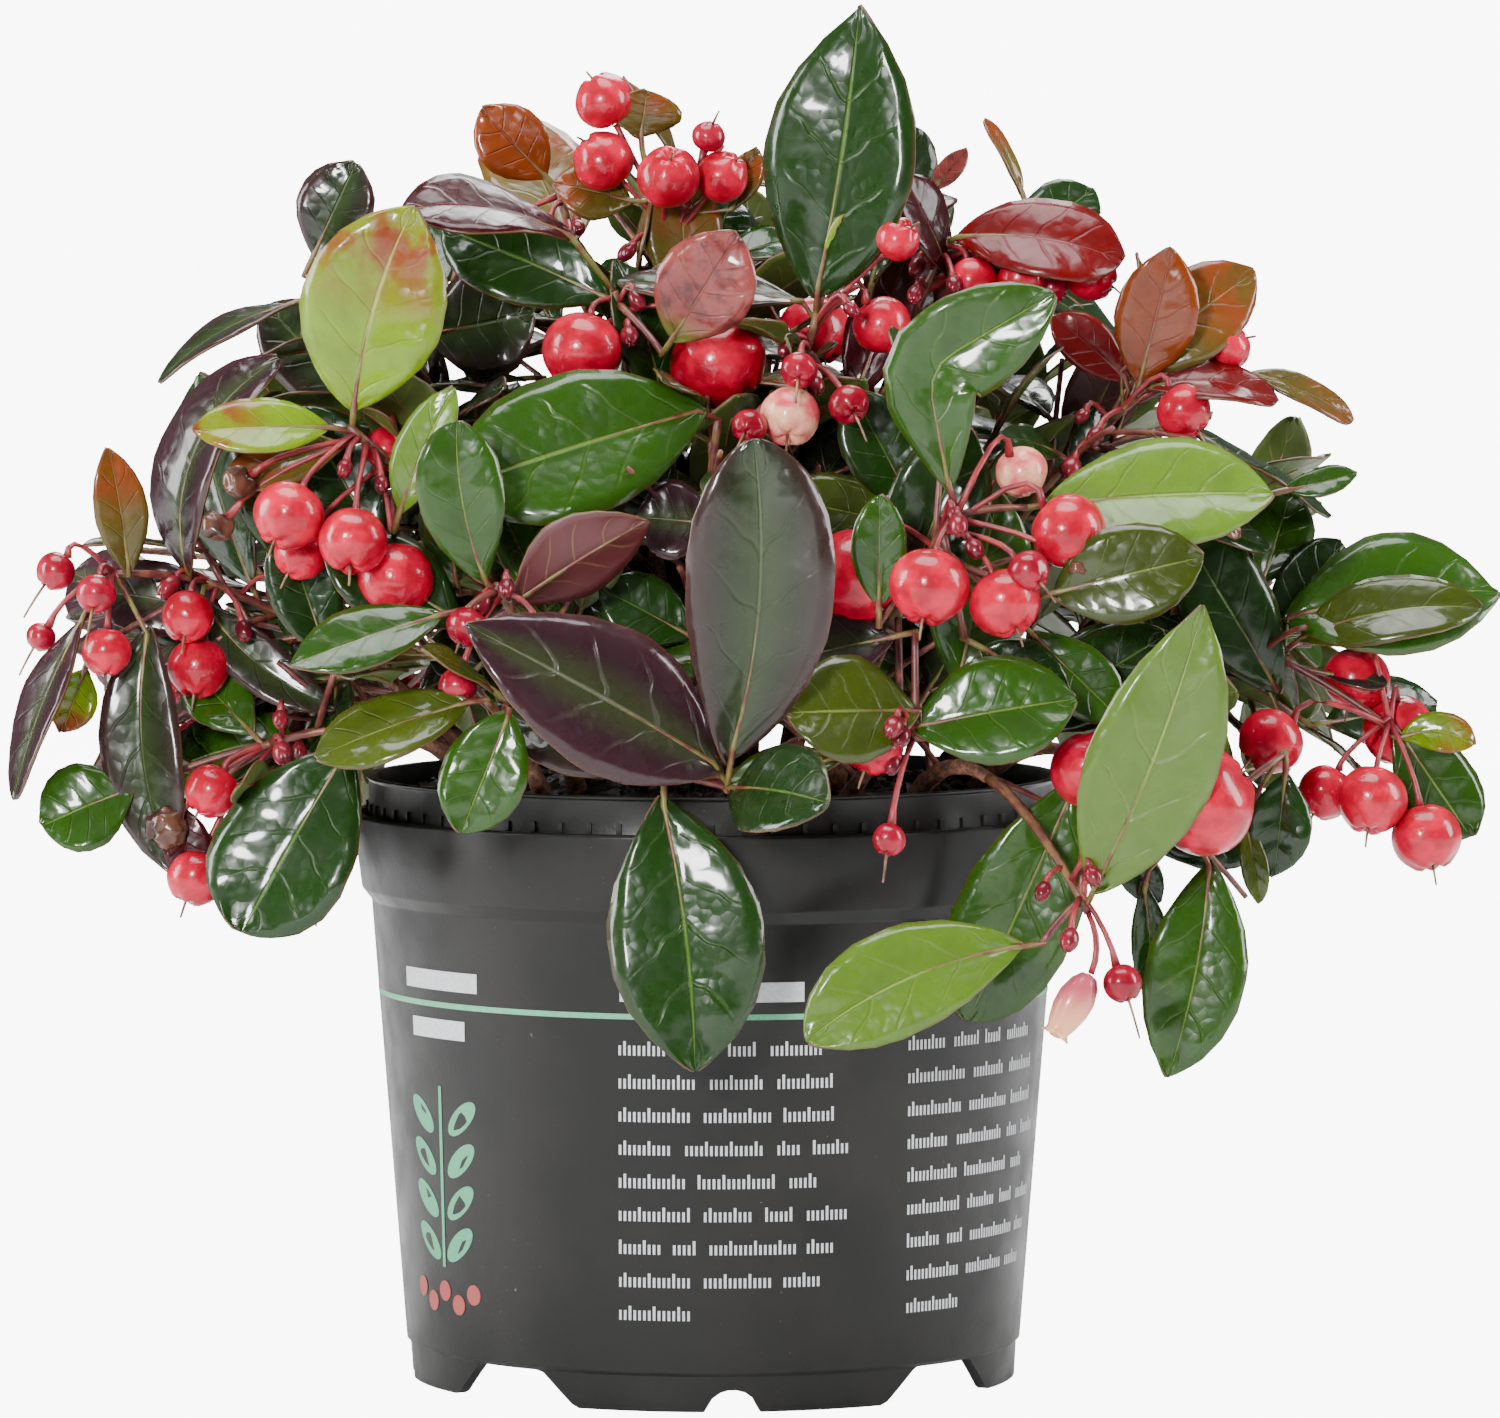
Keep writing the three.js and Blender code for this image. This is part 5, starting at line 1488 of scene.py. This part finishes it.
BERRY_SKINS = {
    "ripe": ("#90001c", "#bc022e"), "young": ("#700218", "#960628"), "blush": ("#c43c4c", "#e0a888"),
    "bud": ("#4c0a16", "#741826"), "withered": ("#2c1612", "#5a3a2c"),
}
for kind, (deep, light) in BERRY_SKINS.items():
    mesh = joined_copies(f"{kind} berries", BERRY, kinds[kind])
    new_piece(f"berries_{kind}", mesh, [berry_skin(f"{kind} berry", deep, light)], "berry")
new_piece("berry_styles", joined_copies("styles", TWIG, styles),
          [young_bark("dry style", "#4c2a1c", "#8a6848")], "leaf_red")

# %% [markdown]
# One late flower still hangs at the front. It is a small urn of waxy petals, pale cream with a pink top, and
# its five short lobes turn out at the mouth. Petals are thin and moist, so a little light goes through them.

# %% Flower
FLOWER_OUTLINE = [(0.01, 0), (0.45, 0.03), (0.78, 0.16), (1, 0.38), (0.98, 0.6), (0.78, 0.82), (0.6, 0.93),
                  (0.66, 0.98), (0.74, 1.0), (0.6, 0.985), (0.5, 0.92), (0.4, 0.7), (0.01, 0.66)]
FLOWER_AT = np.array((60.3, -66, 72.4))
FLOWER_AXIS = unit(np.array((-0.5, -0.12, -0.84)))
FLOWER_MM = np.array((3.1, 3.1, 11))
flower_bm = spun(FLOWER_OUTLINE, 40)
for point in flower_bm.verts:
    lobe = abs(math.cos(2.5 * math.atan2(point.co.y, point.co.x)))
    mouth = max(0, (point.co.z / MM - 0.9) / 0.1)
    point.co.z += 0.04 * MM * mouth * lobe
    point.co.xy *= 1 - 0.05 * (1 - lobe) * (1 - mouth) + 0.1 * mouth * lobe
flower_template = mesh_of("flower template", flower_bm)
flower_points = carried(flower_template, FLOWER_AT, FLOWER_AXIS, -FLOWER_MM / MM, 0.3)

# %% Petals and the flower's stalk
petals, tree, shader = new_material("waxy petals", {
    "Roughness": 0.35, "Base Color": linear("#e0b8a0"), "Coat Weight": 0.3, "Subsurface Weight": 0.2,
    "Subsurface Radius": (0.6, 0.4, 0.3), "Subsurface Scale": 0.001,
})
height = add_node(tree, "ShaderNodeSeparateXYZ", {}, {
    "Vector": add_node(tree, "ShaderNodeTexCoord").outputs["Object"],
}).outputs["Z"]
PINK_FROM, PINK_FULL = 64, 71
pink = spread(tree, height, PINK_FROM * MM, PINK_FULL * MM)
tree.links.new(mix(tree, pink, linear("#e09a70"), linear("#b04858")), shader.inputs["Base Color"])
new_piece("flower", joined_copies("flower", flower_template, [flower_points]), [petals], "berry")
stalk_curve = (shoot_named("lowright")["tip"], FLOWER_AT + at_point(2, 1, 5), FLOWER_AT - FLOWER_AXIS * 0.2)
flower_stalk = tube(TWIG, stalk_curve, (0, 1), (0.5, 0.6))
new_piece("flower_stalk", joined_copies("flower stalk", TWIG, [flower_stalk]),
          [young_bark("flower stalk", "#6a1622", "#8e2a2c")], "leaf_red")

# %% [markdown]
# ## The floor and the light
# The photograph was lit by large soft lamps on a bright white ground. The paper floor bounces their light up
# to the plant, and a glowing sweep behind it, which only the camera sees, is the white ground. Large lamps
# stand to both sides, above and behind. A small one beside the camera gives the berries and leaves their
# sharp white reflections, and they stay deep in colour between them.

# %% Floor and sweep
def stage_piece(name, bm, sockets):
    """Part of the studio, which isn't part of the plant."""
    piece = bpy.data.objects.new(name, mesh_of(name, bm))
    piece.data.materials.append(new_material(f"{name} paper", sockets)[0])
    bpy.context.collection.objects.link(piece)
    return piece


floor_bm = bmesh.new()
bmesh.ops.create_grid(floor_bm, x_segments=1, y_segments=1, size=1.5)
floor = stage_piece("floor", floor_bm, {"Base Color": (0.85, 0.85, 0.85, 1), "Roughness": 0.8})
floor.visible_camera = False

sweep_bm = bmesh.new()
bmesh.ops.create_uvsphere(sweep_bm, u_segments=48, v_segments=24, radius=4)
for vert in sweep_bm.verts:
    vert.co.z = max(vert.co.z, -0.5 * MM)
sweep = stage_piece("sweep", sweep_bm, {
    "Base Color": (0.8, 0.8, 0.8, 1), "Roughness": 0.9,
    "Emission Color": (1, 1, 1, 1), "Emission Strength": 9.0,
})
sweep.visible_diffuse = sweep.visible_glossy = sweep.visible_shadow = sweep.visible_transmission = False

# %% Lamps
world = bpy.data.worlds.new("white studio")
world.use_nodes = True
background = world.node_tree.nodes["Background"]
background.inputs["Color"].default_value = (1, 1, 1, 1)
background.inputs["Strength"].default_value = 0.15
bpy.context.scene.world = world

# A lamp is its name, place in metres, watts, width and height. Each looks at the middle of the plant.
LAMPS = [
    ("front", (-0.32, -1.0, 0.4), 15, 0.16, 0.2),
    ("left", (-0.85, -0.1, 0.35), 13, 0.3, 0.7),
    ("right", (0.85, -0.1, 0.4), 11, 0.3, 0.7),
    ("overhead", (-0.05, -0.1, 1.05), 17, 0.9, 0.6),
    ("back", (0.1, 0.8, 0.9), 10, 0.7, 0.5),
]
LIT_AT = Vector((0, 0, 0.12))
for name, place, watts, wide, tall in LAMPS:
    light = bpy.data.lights.new(name, "AREA")
    light.shape = "ELLIPSE"
    light.energy = watts
    light.size, light.size_y = wide, tall
    lamp = bpy.data.objects.new(name, light)
    lamp.location = place
    lamp.rotation_euler = (LIT_AT - lamp.location).to_track_quat("-Z", "Y").to_euler()
    bpy.context.collection.objects.link(lamp)
